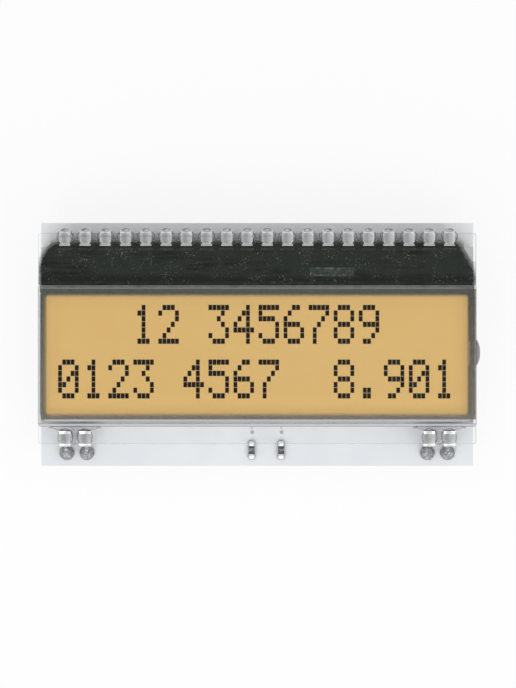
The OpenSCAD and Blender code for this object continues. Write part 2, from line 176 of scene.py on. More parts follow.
def edit(piece: Piece, work: Callable[[], object]) -> None:
    """Runs mesh operators on all of a piece in edit mode.

    Args:
        piece: The object to edit.
        work: The operators to run, with every vertex selected.
    """
    choose(piece)
    bpy.ops.object.mode_set(mode="EDIT")
    bpy.ops.mesh.select_all(action="SELECT")
    work()
    bpy.ops.object.mode_set(mode="OBJECT")


def modify(piece: Piece, kind: str, **settings: object) -> None:
    """Adds a modifier to a piece and applies it.

    Args:
        piece: The object to shape.
        kind: The modifier's type.
        settings: Its properties.
    """
    choose(piece)
    modifier = piece.modifiers.new(kind.lower(), kind)
    for name, value in settings.items():
        setattr(modifier, name, value)
    bpy.ops.object.modifier_apply(modifier=modifier.name)


def copy_node(node: str, name: str) -> Piece:
    """Copies a construction node into a clean mesh in millimetres, with flat faces whole again.

    Args:
        node: The node to copy.
        name: The new piece's name.

    Returns:
        The new object, in millimetres.
    """
    piece = bpy.data.objects.new(name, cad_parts[node].data.copy())
    piece.data.name = name
    bpy.context.scene.collection.objects.link(piece)
    piece.data.materials.clear()
    piece.data.transform(Matrix.Scale(1 / MM, 4))
    if piece.data.has_custom_normals:
        choose(piece)
        bpy.ops.mesh.customdata_custom_splitnormals_clear()

    def merge() -> None:
        """Joins the loose triangles and dissolves the lines across flat faces."""
        bpy.ops.mesh.remove_doubles(threshold=MERGE_DISTANCE)
        bpy.ops.mesh.dissolve_limited(angle_limit=FLAT_ANGLE)

    edit(piece, merge)
    return piece


def join(pieces: Sequence[Piece], name: str) -> Piece:
    """Joins objects into the first of them.

    Args:
        pieces: The objects to join.
        name: The name of the result.

    Returns:
        The joined object.
    """
    choose(*pieces)
    bpy.ops.object.join()
    joined = bpy.context.view_layer.objects.active
    joined.name = joined.data.name = name
    return joined


def stretched(scale: Sequence[float] = (1, 1, 1)) -> Piece:
    """Puts the place and the stretch of a new primitive into its mesh.

    Args:
        scale: How much it is stretched along X, Y and Z.

    Returns:
        The primitive.
    """
    piece = bpy.context.view_layer.objects.active
    piece.scale = scale
    bpy.ops.object.transform_apply(location=True, rotation=True, scale=True)
    return piece


def ellipsoid(centre: Sequence[float], radii: Sequence[float], segments: int = 32) -> Piece:
    """Adds a stretched ball, as a lump to be melted together with others.

    Args:
        centre: Its middle.
        radii: Its half sizes along X, Y and Z.
        segments: Facets around it.

    Returns:
        The new object.
    """
    clear_choice()
    bpy.ops.mesh.primitive_uv_sphere_add(segments=segments, ring_count=segments // 2, radius=1,
                                         location=centre)
    return stretched(radii)


def block(low: Sequence[float], high: Sequence[float]) -> Piece:
    """Adds a plain box between two corners, as a cutter or a blank.

    Args:
        low: Its lowest corner.
        high: Its highest corner.

    Returns:
        The new object.
    """
    clear_choice()
    bpy.ops.mesh.primitive_cube_add(size=1, location=[(a + b) / 2 for a, b in zip(low, high)])
    return stretched([b - a for a, b in zip(low, high)])


def cut_away(piece: Piece, cutters: Iterable[Piece]) -> None:
    """Cuts each cutter out of a piece and removes the cutters.

    Args:
        piece: The object to cut.
        cutters: The closed shapes to take away.
    """
    for cutter in cutters:
        modify(piece, "BOOLEAN", operation="DIFFERENCE", object=cutter, solver="EXACT")
        bpy.data.objects.remove(cutter)


def cut_flat(piece: Piece, place: Sequence[float], outwards: Sequence[float]) -> None:
    """Cuts a piece off at the plane through a place, on the side that faces outwards, and closes the cut."""
    edit(piece, lambda: bpy.ops.mesh.bisect(plane_co=place, plane_no=outwards, use_fill=True,
                                            clear_outer=True))


def melt(pieces: Sequence[Piece], name: str, voxel: float, smoothing: int = 0) -> Piece:
    """Melts overlapping lumps into one drop.

    Args:
        pieces: The lumps.
        name: The name of the result.
        voxel: The size of the remeshed faces.
        smoothing: How many times the drop is smoothed.

    Returns:
        The drop.
    """
    drop = join(pieces, name)
    modify(drop, "REMESH", mode="VOXEL", voxel_size=voxel)
    if smoothing:
        modify(drop, "SMOOTH", factor=0.5, iterations=smoothing)
    return drop


def ruffle(piece: Piece, size: float, height: float) -> None:
    """Raises and lowers a surface by soft noise.

    Args:
        piece: The object to shape.
        size: The noise's size.
        height: How far it moves the surface in all.
    """
    texture = bpy.data.textures.new(f"{piece.name}_noise", "CLOUDS")
    texture.noise_scale = size
    texture.noise_depth = 2
    modify(piece, "DISPLACE", texture=texture, texture_coords="LOCAL", strength=height, mid_level=0.5)
    bpy.data.textures.remove(texture)


def round_edges(piece: Piece, width: float, degrees: float = 30) -> None:
    """Rounds the edges that are sharper than an angle."""
    modify(piece, "BEVEL", width=width, segments=2, limit_method="ANGLE", angle_limit=math.radians(degrees))


def smooth(piece: Piece, degrees: float = 180) -> None:
    """Shades a piece smooth, apart from edges sharper than an angle."""
    choose(piece)
    bpy.ops.object.shade_smooth_by_angle(angle=math.radians(degrees))


def paint(piece: Piece, material: Material) -> None:
    """Gives a piece one finish in place of any other."""
    piece.data.materials.clear()
    piece.data.materials.append(material)


def dress(node: str, material: Material) -> None:
    """Gives a construction node its finish."""
    paint(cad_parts[node], material)


def settle(piece: Piece, slot: str, material: Material, *nodes: str) -> None:
    """Turns a finished piece to metres, dresses it and puts it on the display.

    Args:
        piece: The finished object, in millimetres.
        slot: Not used.
        material: Its finish.
        nodes: The construction nodes that it stands for.
    """
    piece.data.transform(Matrix.Scale(MM, 4))
    paint(piece, material)
    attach(piece, ROOT)
    if nodes:
        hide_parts(*nodes)
    log.info("%s: %d faces", piece.name, len(piece.data.polygons))


# --------------------------------------------------------------------------------------------------
# Finishes
# --------------------------------------------------------------------------------------------------


class Graph:
    """The node tree of a material or a world, with short calls for the nodes that the finishes share."""

    def __init__(self, name: str, world: bool = False) -> None:
        """Makes an empty node tree.

        Args:
            name: The name of the material or world.
            world: Whether it is a world.
        """
        self.owner = (bpy.data.worlds if world else bpy.data.materials).new(name)
        self.owner.use_nodes = True
        self.tree = self.owner.node_tree
        self.tree.nodes.clear()
        self.output = self.add("ShaderNodeOutputWorld" if world else "ShaderNodeOutputMaterial")
        self.place = self.add("ShaderNodeTexCoord").outputs["Generated" if world else "Object"]

    def add(self, kind: str, sockets: dict | None = None, **attributes: object) -> Node:
        """Adds a node.

        Args:
            kind: The node's type.
            sockets: Input names or numbers, each with a value or the output to link.
            attributes: Properties of the node itself.

        Returns:
            The node.
        """
        node = self.tree.nodes.new(kind)
        for name, value in attributes.items():
            setattr(node, name, value)
        for name, value in (sockets or {}).items():
            if isinstance(value, Socket):
                self.tree.links.new(value, node.inputs[name])
            elif isinstance(value, tuple) and len(value) == 3 and node.inputs[name].type == "RGBA":
                node.inputs[name].default_value = (*value, 1)
            else:
                node.inputs[name].default_value = value
        return node

    def noise(self, size: float, detail: float = 3, stretch: Triple | None = None) -> Socket:
        """Noise of a size in millimetres, on the piece's own coordinates.

        Args:
            size: The size of its features.
            detail: Octaves of finer noise.
            stretch: How much shorter it is along X, Y and Z.

        Returns:
            The noise, from 0 to 1.
        """
        place = self.place
        if stretch is not None:
            place = self.add("ShaderNodeMapping", {"Vector": place, "Scale": stretch}).outputs[0]
        sockets = {"Vector": place, "Scale": 1 / (size * MM), "Detail": detail}
        return self.add("ShaderNodeTexNoise", sockets).outputs["Fac"]

    def remap(self, value: Socket, start: float, end: float, low: float = 0, high: float = 1) -> Socket:
        """Maps the range from start to end to the range from low to high, and holds it at the ends."""
        return self.add("ShaderNodeMapRange", {"Value": value, "From Min": start, "From Max": end,
                                               "To Min": low, "To Max": high}).outputs[0]

    def cloud(self, size: float, span: Pair = NOISE_SPAN, low: float = 0, high: float = 1, detail: float = 3,
              stretch: Triple | None = None) -> Socket:
        """Noise with a span of its values mapped to the range from low to high."""
        return self.remap(self.noise(size, detail, stretch), *span, low, high)

    def math(self, operation: str, first: object, second: object = 0.0) -> Socket:
        """One sum, product or comparison of two values."""
        return self.add("ShaderNodeMath", {0: first, 1: second}, operation=operation).outputs[0]

    def product(self, *values: object) -> Socket:
        """Multiplies values together."""
        return reduce(lambda first, second: self.math("MULTIPLY", first, second), values)

    def vector(self, operation: str, first: object, second: object = (0.0, 0.0, 0.0)) -> Node:
        """One vector operation on two vectors."""
        return self.add("ShaderNodeVectorMath", {0: first, 1: second}, operation=operation)

    def along(self, axis: str) -> Socket:
        """The place along X, Y or Z, in metres."""
        return self.add("ShaderNodeSeparateXYZ", {0: self.place}).outputs[axis]

    def mix(self, share: object, first: object, second: object) -> Socket:
        """Mixes two colours, the second by share."""
        return self.add("ShaderNodeMix", {0: share, 6: first, 7: second}, data_type="RGBA").outputs[2]

    def level(self, share: object, first: object, second: object) -> Socket:
        """Mixes two values, the second by share."""
        return self.add("ShaderNodeMix", {0: share, 2: first, 3: second}).outputs[0]

    def bump(self, height: Socket, depth: float) -> Socket:
        """A normal for a height of that depth in millimetres."""
        sockets = {"Height": height, "Distance": depth * MM, "Strength": 1}
        return self.add("ShaderNodeBump", sockets).outputs[0]

    def blend(self, share: Socket, first: Node, second: Node) -> Node:
        """Mixes two shaders, the second by share."""
        return self.add("ShaderNodeMixShader", {0: share, 1: first.outputs[0], 2: second.outputs[0]})

    def principled(self, sockets: dict) -> Node:
        """Adds a principled shader."""
        return self.add("ShaderNodeBsdfPrincipled", sockets)

    def finish(self, shader: Node) -> Material | bpy.types.World:
        """Links the shader to the output and gives back the material or world."""
        self.tree.links.new(shader.outputs[0], self.output.inputs["Surface"])
        return self.owner

    def inside(self, point: Pair, towards: Pair, fade: Pair) -> Socket:
        """0 outside a line in the plane of the glass, rising to 1 inside it.

        Args:
            point: A point on the line, in millimetres.
            towards: The direction inwards.
            fade: The distances from the line at which the value leaves 0 and reaches 1.

        Returns:
            The value.
        """
        start = Vector((*point, 0)) * MM
        direction = Vector((*towards, 0)).normalized()
        away = self.vector("DOT_PRODUCT", self.vector("SUBTRACT", self.place, start).outputs[0], direction)
        return self.remap(away.outputs["Value"], fade[0] * MM, fade[1] * MM)

    def strip(self, low: float, high: float, blur: float) -> Socket:
        """1 between two places along Y, 0 outside them, with edges blurred to both sides."""
        fade = (-blur, blur)
        return self.product(self.inside((0, low), UP, fade), self.inside((0, high), DOWN, fade))

    def outer(self, strength: float = 1.0) -> Socket:
        """The strength on the outer side of a face, and 0 on its inner side."""
        behind = self.add("ShaderNodeNewGeometry").outputs["Backfacing"]
        return self.math("SUBTRACT", strength, self.math("MULTIPLY", behind, strength))

    def steepness(self, flat: float, steep: float) -> Socket:
        """0 where the surface lies flat, rising to 1 where it stands up.

        Args:
            flat: The upright part of the normal at and above which it counts as flat.
            steep: The upright part at and below which it counts as standing.

        Returns:
            The value.
        """
        normal = self.add("ShaderNodeNewGeometry").outputs["Normal"]
        upright = self.add("ShaderNodeSeparateXYZ", {0: normal}).outputs["Z"]
        return self.remap(self.math("ABSOLUTE", upright), flat, steep)

    def shine(self, body: Node, strength: float, roughness: float, normal: Socket) -> Node:
        """Lays a clear gloss over the outer side of a see-through body.

        Args:
            body: The shader below.
            strength: How much of a full gloss it has.
            roughness: Its roughness.
            normal: Its bumps.

        Returns:
            The shader with the gloss.
        """
        gloss = self.add("ShaderNodeBsdfGlossy", {"Color": (1.0, 1.0, 1.0), "Roughness": roughness,
                                                  "Normal": normal})
        mirror = self.add("ShaderNodeFresnel", {"IOR": GLASS_IOR, "Normal": normal}).outputs[0]
        return self.blend(self.math("MULTIPLY", mirror, self.outer(strength)), body, gloss)

    def rounded_mask(self, box: Box, radius: float, blur: float) -> Socket:
        """1 inside a rounded rectangle in the plane of the glass, 0 outside.

        Args:
            box: The rectangle, in millimetres.
            radius: Its corner radius.
            blur: How wide its edge is.

        Returns:
            The mask.
        """
        centre = Vector((box.centre.x, box.centre.y, 0)) * MM
        half = Vector((box.size.x / 2 - radius, box.size.y / 2 - radius, 0)) * MM
        flat = self.vector("MULTIPLY", self.place, (1, 1, 0)).outputs[0]
        away = self.vector("ABSOLUTE", self.vector("SUBTRACT", flat, centre).outputs[0]).outputs[0]
        past = self.vector("MAXIMUM", self.vector("SUBTRACT", away, half).outputs[0]).outputs[0]
        gap = self.vector("LENGTH", past).outputs["Value"]
        return self.remap(gap, (radius - blur / 2) * MM, (radius + blur / 2) * MM, 1, 0)


@dataclass(frozen=True)
class Satin:
    """A moulded, printed or laminated surface with a slight grain and an uneven tone.

    It may have bands of painted light and painted shade, and a painted glow.
    """

    name: str
    colour: Colour
    second: Colour
    tone_size: float = 3
    grain_size: float = 0.15
    grain_depth: float = 0.004
    roughness: float = 0.4
    roughness_shift: float = 0.08
    specular: float = 0.5
    coat: float = 0
    glow: float = 0
    painted_light_and_shade: tuple[tuple[Edge, Colour], ...] = ()

    def material(self) -> Material:
        """Builds the material.

        Returns:
            The material.
        """
        graph = Graph(self.name)
        colour = graph.mix(graph.cloud(self.tone_size), self.colour, self.second)
        # Bands of painted light and painted shade, each fading in inwards from a line
        for edge, tone_patch in self.painted_light_and_shade:
            colour = graph.mix(graph.inside(*edge), colour, tone_patch)
        grain = graph.noise(self.grain_size, 5)
        low, high = self.roughness - self.roughness_shift, self.roughness + self.roughness_shift
        return graph.finish(graph.principled({
            "Base Color": colour, "Roughness": graph.remap(grain, 0.25, 0.75, low, high),
            "Specular IOR Level": self.specular, "Coat Weight": self.coat, "Emission Color": colour,
            "Emission Strength": self.glow, "Normal": graph.bump(grain, self.grain_depth)}))


@dataclass(frozen=True)
class Tin:
    """Plated sheet metal with faint drawing lines along its length.

    It may have a band of painted reflection across it, a darker stripe given by its middle and its half
    width that fades out from left to right as the light grows, and painted shade below a place.
    """

    name: str
    colour: Colour
    roughness: float
    line_depth: float
    grain_size: float = 0.15
    painted_reflection_band: Pair | None = None
    painted_band_ends: Pair = (-26, 26)
    painted_shade_below: float | None = None
    stain_shade: float = 0.84
    painted_band_shade: float = 0.5
    painted_end_shade: float = 0.74

    def material(self) -> Material:
        """Builds the material.

        Returns:
            The material.
        """
        graph = Graph(self.name)
        lines = graph.noise(self.grain_size, stretch=(1, 0.15, 0.15))
        tone_patch = graph.cloud(0.6, (0.35, 0.75))
        colour = graph.mix(tone_patch, self.colour, scaled(self.colour, self.stain_shade))
        # Painted reflection: a darker band across the pin that fades out from left to right
        if self.painted_reflection_band:
            middle, half = self.painted_reflection_band
            left, right = self.painted_band_ends
            painted_band = graph.product(graph.strip(middle - half, middle + half, 0.12),
                                   graph.cloud(0.28, (0.38, 0.55), 0.3, 1),
                                   graph.remap(graph.along("X"), left * MM, right * MM, 0.8, 0.1))
            colour = graph.mix(painted_band, colour, scaled(self.colour, self.painted_band_shade))
        # Painted shade: darker below a place, towards the pins' tips
        if self.painted_shade_below is not None:
            end = graph.inside((0, self.painted_shade_below), DOWN, (-0.5, 0.2))
            colour = graph.mix(end, colour, scaled(self.colour, self.painted_end_shade))
        rough = graph.remap(tone_patch, 0, 1, self.roughness, self.roughness + 0.12)
        return graph.finish(graph.principled({"Base Color": colour, "Metallic": 1.0, "Roughness": rough,
                                              "Normal": graph.bump(lines, self.line_depth)}))


@dataclass(frozen=True)
class GrainySolder:
    """Dull solder: a crust of small grains with dark pits between them."""

    name: str
    light: Colour
    dark: Colour
    grain_size: float = 0.2
    pit_depth: float = 0.06

    def material(self) -> Material:
        """Builds the material.

        Returns:
            The material.
        """
        graph = Graph(self.name)
        sockets = {"Vector": graph.place, "Scale": 1 / (self.grain_size * MM)}
        cells = graph.add("ShaderNodeTexVoronoi", sockets, feature="SMOOTH_F1").outputs["Distance"]
        crust = graph.cloud(0.22, (0.32, 0.66), detail=5)
        return graph.finish(graph.principled({
            "Base Color": graph.mix(crust, self.dark, self.light), "Metallic": 0.85,
            "Roughness": graph.remap(crust, 0, 1, 0.55, 0.32),
            "Normal": graph.bump(graph.math("SUBTRACT", crust, cells), self.pit_depth)}))


@dataclass(frozen=True)
class SmoothSolder:
    """Bright solder that flowed well: it shines on top, and painted shade darkens it where it falls away to
    the board.
    """

    name: str
    light: Colour
    dark: Colour
    tone_shade: float = 0.92

    def material(self) -> Material:
        """Builds the material.

        Returns:
            The material.
        """
        graph = Graph(self.name)
        grain = graph.noise(0.12, 4)
        tone = graph.mix(graph.remap(grain, *NOISE_SPAN), self.light, scaled(self.light, self.tone_shade))
        # Painted shade: the colour turns dark where the solder falls away steeply
        return graph.finish(graph.principled({
            "Base Color": graph.mix(graph.steepness(0.72, 0.3), tone, self.dark), "Metallic": 0.35,
            "Roughness": graph.remap(grain, *NOISE_SPAN, 0.2, 0.3), "Coat Weight": 0.4,
            "Normal": graph.bump(grain, 0.004)}))


@dataclass(frozen=True)
class Domes:
    """The dark rims where light is bent away at the feet of a row of clear domes."""

    first_x: float
    pitch: float
    middle_y: float
    faint_below: float | None = None
    radius: float = 1.0
    width: float = 0.17
    strength: float = 0.8
    unevenness: float = 0.1

    def rims(self, graph: Graph) -> Socket:
        """How dark a place is.

        Args:
            graph: The material's graph.

        Returns:
            0 away from the rims, and the strength on them.
        """
        half = self.pitch / 2 * MM
        across = graph.math("SUBTRACT", graph.along("X"), self.first_x * MM)
        across = graph.add("ShaderNodeMath", {0: across, 1: half, 2: -half}, operation="WRAP").outputs[0]
        along = graph.math("SUBTRACT", graph.along("Y"), self.middle_y * MM)
        place = graph.add("ShaderNodeCombineXYZ", {0: across, 1: along}).outputs[0]
        away = graph.vector("LENGTH", place).outputs["Value"]
        uneven = graph.cloud(0.8, low=-self.unevenness * MM, high=self.unevenness * MM, detail=2)
        off = graph.math("SUBTRACT", graph.math("ADD", away, uneven), self.radius * MM)
        rim = graph.remap(graph.math("ABSOLUTE", off), self.width / 4 * MM, self.width / 2 * MM, 1, 0)
        worn = graph.cloud(0.6, (0.35, 0.6), 0.45 * self.strength, self.strength, 2)
        return graph.product(rim, worn)


@dataclass(frozen=True)
class ClearPlate:
    """Something clear that lamps shine through: its faces mirror a little, and its steep sides take a frosted
    grey that is painted shade for the light their slopes bend away, on glass together with the grey of a
    ground edge.

    The body is a Transparent shader, so what lies behind it is seen and lit through it. A ground bevel
    shows as a bright band between two dark lines of painted shade. A margin is the place left of which the
    glass is bare, and how cloudy it is there.
    """

    name: str
    tint: Colour
    edge_colour: Colour
    edge_share: float
    grain_shade: float = 0.8
    steep: Pair = (0.9, 0.55)
    haze: float = 0
    gloss: float = 1
    roughness: float = 0.04
    wave_size: float = 4
    wave_depth: float = 0.001
    bevel: Pair | None = None
    line_width: float = 0.15
    line_colours: tuple[Colour, Colour, Colour] = (linear(152, 155, 159), linear(244, 245, 246),
                                                   linear(112, 115, 119))
    margin: Pair | None = None
    faint_left: float | None = None
    edge_faintness: float = 0.35
    domes: Domes | None = None
    rim_faintness: float = 0.15

    def material(self) -> Material:
        """Builds the material.

        Returns:
            The material.
        """
        graph = Graph(self.name)
        grain = graph.cloud(0.12, low=0.75, detail=4)
        tone = graph.mix(grain, scaled(self.edge_colour, self.grain_shade), self.edge_colour)
        # Painted shade: steep sides take the frosted grey, for the light their slopes bend away
        share = graph.remap(graph.steepness(*self.steep), 0, 1, self.haze, self.edge_share)
        if self.faint_left is not None:
            share = graph.product(share, self.fading(graph, "X", self.faint_left, 0.1, self.edge_faintness))
        if self.margin:
            left, cloudiness = self.margin
            bare = graph.inside((left, 0), LEFT, (-0.05, 0.05))
            share = graph.math("MAXIMUM", share, graph.product(bare, cloudiness))
        if self.bevel:
            tone, share = self.ground_bevel(graph, tone, share)
        if self.domes:
            share = graph.math("MAXIMUM", share, self.domes.rims(graph))
            if self.domes.faint_below is not None:
                share = graph.product(share, self.fading(graph, "Y", self.domes.faint_below, 0.3,
                                                         self.rim_faintness))
        frost_and_painted_shade = graph.principled({"Base Color": tone, "Roughness": 0.35})
        clear = graph.add("ShaderNodeBsdfTransparent", {"Color": self.tint})
        normal = graph.bump(graph.noise(self.wave_size, 2), self.wave_depth)
        return graph.finish(graph.shine(graph.blend(share, clear, frost_and_painted_shade), self.gloss, self.roughness, normal))

    def fading(self, graph: Graph, axis: str, place: float, width: float, faintness: float) -> Socket:
        """1 past a place along an axis, falling over a width to the faintness before it."""
        return graph.remap(graph.along(axis), (place - width) * MM, place * MM, faintness, 1)

    def ground_bevel(self, graph: Graph, tone: Socket, share: Socket) -> tuple[Socket, Socket]:
        """Adds the band and its two lines.

        Args:
            graph: The material's graph.
            tone: The colour so far.
            share: The frosting so far.

        Returns:
            The colour and the frosting with the bevel.
        """
        low, high = self.bevel
        inner, bright, outer = self.line_colours
        half = self.line_width / 2
        band = graph.strip(low, high, 0.02)
        lines = [graph.strip(middle - half, middle + half, 0.03) for middle in (low + half, high - half / 2)]
        line = graph.math("MAXIMUM", *lines)
        tone = graph.mix(line, graph.mix(band, tone, bright), graph.mix(lines[0], inner, outer))
        return tone, graph.math("MAXIMUM", share, graph.product(graph.math("MAXIMUM", band, line), 0.8))


@dataclass(frozen=True)
class PolariserFilm:
    """The front polariser: clear over the cell's window, dark where no liquid crystal turns the light."""

    name: str
    window: Box
    corner: float
    clear: Colour
    upper: Colour
    lower: Colour
    cover: float
    end: float
    end_width: float = 0.4
    window_blur: float = 0.75

    def material(self) -> Material:
        """Builds the material.

        Returns:
            The material.
        """
        graph = Graph(self.name)
        low, high = self.window.low.y * MM, self.window.high.y * MM
        dark = graph.mix(graph.remap(graph.along("Y"), low, high), self.lower, self.upper)
        mottled = graph.mix(graph.cloud(0.5, detail=4), dark, graph.mix(0.25, dark, (0.0, 0.0, 0.0)))
        rim = graph.principled({"Base Color": mottled, "Roughness": 0.35, "Specular IOR Level": 0.3})
        body = graph.add("ShaderNodeBsdfTransparent", {"Color": self.clear})
        inside = graph.rounded_mask(self.window, self.corner, self.window_blur)
        share = graph.product(graph.remap(inside, 0, 1, self.cover, 0.0), graph.remap(
            graph.along("X"), (self.end - self.end_width) * MM, self.end * MM, 1.0, 0.5))
        normal = graph.bump(graph.noise(0.06), 0.0006)
        return graph.finish(graph.shine(graph.blend(share, body, rim), 0.25, 0.22, normal))


@dataclass(frozen=True)
class AmberLayer:
    """The lit cell: an even amber with a soft, paler rim of painted light where the film's dark border
    shades it, and painted light towards its foot, which that border shades from the lamps.
    """

    name: str
    window: Box
    middle: Colour
    rim: Colour
    glow: float
    broad_shade: Triple = (0.97, 0.94, 0.88)
    fine_shade: Triple = (1.03, 1.02, 1.1)
    painted_foot_light: float = 1.14
    foot_height: float = 3.0
    corner: float = 1.4
    rim_blur: float = 2.4

    def material(self) -> Material:
        """Builds the material.

        Returns:
            The material.
        """
        graph = Graph(self.name)
        broad = graph.cloud(5, (0.35, 0.65), 0, 0.35, 2)
        amber = graph.mix(broad, self.middle, scaled(self.middle, *self.broad_shade))
        fine = graph.cloud(0.35, high=0.25, detail=2)
        amber = graph.mix(fine, amber, scaled(self.middle, *self.fine_shade))
        # Painted light: paler towards the foot, which the film's dark border shades from the lamps
        foot = graph.inside((0, self.window.low.y), DOWN, (-self.foot_height, 0.0))
        amber = graph.mix(foot, amber, scaled(self.middle, self.painted_foot_light))
        # Painted light: the rim colour is paler, where the film's dark border shades the layer
        inner = graph.rounded_mask(self.window, self.corner, self.rim_blur)
        colour = graph.mix(inner, self.rim, amber)
        return graph.finish(graph.principled({
            "Base Color": colour, "Roughness": 0.6, "Specular IOR Level": 0.1,
            "Emission Color": colour, "Emission Strength": self.glow}))


@dataclass(frozen=True)
class BlackCoating:
    """Cured black resin: greenish black, streaked, speckled with pale dust and thin at its margins.

    The chip shows through as a paler bar with a light outline.
    """

    name: str
    body: Colour
    deep: Colour
    speck: Colour
    chip: Box
    foot: float
    top: float
    margins: tuple[Edge, ...]
    chip_shade: float = 2.1
    outline_width: float = 0.14
    skin_depth: float = 0.008

    def colour(self, graph: Graph) -> Socket:
        """The resin's colour, with the streaks, the chip and the dust.

        Args:
            graph: The material's graph.

        Returns:
            The colour.
        """
        streaks = graph.cloud(0.5, (0.48, 0.6), stretch=(0.06, 1, 1))
        foot = (0, self.foot)
        shadow = graph.product(graph.inside(foot, UP, (1.5, 0.9)), graph.inside(foot, UP, (0.25, 0.5)),
                               graph.cloud(1.2, (0.36, 0.5), stretch=(0.1, 1, 1)))
        dark = graph.math("MAXIMUM", shadow, graph.product(streaks, graph.cloud(4, (0.42, 0.58), detail=4)))
        bar = graph.rounded_mask(self.chip, 0.05, 0.08)
        rim = Vector((self.outline_width, self.outline_width, 0))
        inner = graph.rounded_mask(Box(self.chip.low + rim, self.chip.high - rim), 0.03, 0.1)
        outline = graph.product(graph.math("SUBTRACT", bar, inner), graph.cloud(0.45, (0.45, 0.62), 0.0, 0.5))
        body = graph.mix(dark, self.body, self.deep)
        body = graph.mix(graph.product(bar, 0.85), body, scaled(self.body, self.chip_shade))
        body = graph.mix(outline, body, self.speck)
        dust = graph.product(graph.cloud(0.15, (0.62, 0.7), 0, 0.9, 2), graph.cloud(1.8, (0.46, 0.62), 0.1),
                             graph.inside((0, self.top), DOWN, (0.0, 0.6)))
        return graph.mix(dust, body, self.speck)

    def material(self) -> Material:
        """Builds the material.

        Returns:
            The material.
        """
        graph = Graph(self.name)
        skin = graph.noise(0.35, 5)
        resin = graph.principled({
            "Base Color": self.colour(graph), "Roughness": graph.remap(skin, *NOISE_SPAN, 0.3, 0.46),
            "Normal": graph.bump(skin, self.skin_depth), "Specular IOR Level": 0.32})
        cover = graph.product(*(graph.inside(*edge) for edge in self.margins))
        ragged = graph.math("ADD", cover, graph.cloud(0.5, low=-0.06, high=0.06))
        cover = graph.product(graph.remap(ragged, 0.05, 0.95), graph.outer())
        clear = graph.add("ShaderNodeBsdfTransparent", {"Color": (1.0, 1.0, 1.0)})
        return graph.finish(graph.blend(cover, clear, resin))


@dataclass(frozen=True)
class ChipResistor:
    """A chip resistor: black glazed body between tinned end caps."""

    name: str
    middle_y: float
    half_body: float
    body: Colour
    cap: Colour
    tone_shade: float = 1.6
    pale_patch_shade: float = 8
    pale_patch_ends: Pair = (0.12, 0.36)

    def material(self) -> Material:
        """Builds the material.

        Returns:
            The material.
        """
        graph = Graph(self.name)
        away = graph.math("ABSOLUTE", graph.math("SUBTRACT", graph.along("Y"), self.middle_y * MM))
        metal = graph.remap(away, (self.half_body - 0.01) * MM, (self.half_body + 0.01) * MM)
        grain = graph.noise(0.08, 4)
        tone = graph.mix(graph.remap(grain, *NOISE_SPAN), self.body, scaled(self.body, self.tone_shade))
        # Paler in patches towards the middle of the body
        near, far = self.pale_patch_ends
        pale_patch = graph.product(graph.cloud(0.22, (0.4, 0.55), detail=2),
                              graph.remap(away, near * MM, far * MM, 0.85, 0))
        tone = graph.mix(pale_patch, tone, scaled(self.body, self.pale_patch_shade))
        return graph.finish(graph.principled({
            "Base Color": graph.mix(metal, tone, self.cap), "Metallic": metal,
            "Roughness": graph.remap(metal, 0, 1, 0.38, 0.28), "Normal": graph.bump(grain, 0.006)}))


# --------------------------------------------------------------------------------------------------
# Sub-assemblies
# --------------------------------------------------------------------------------------------------


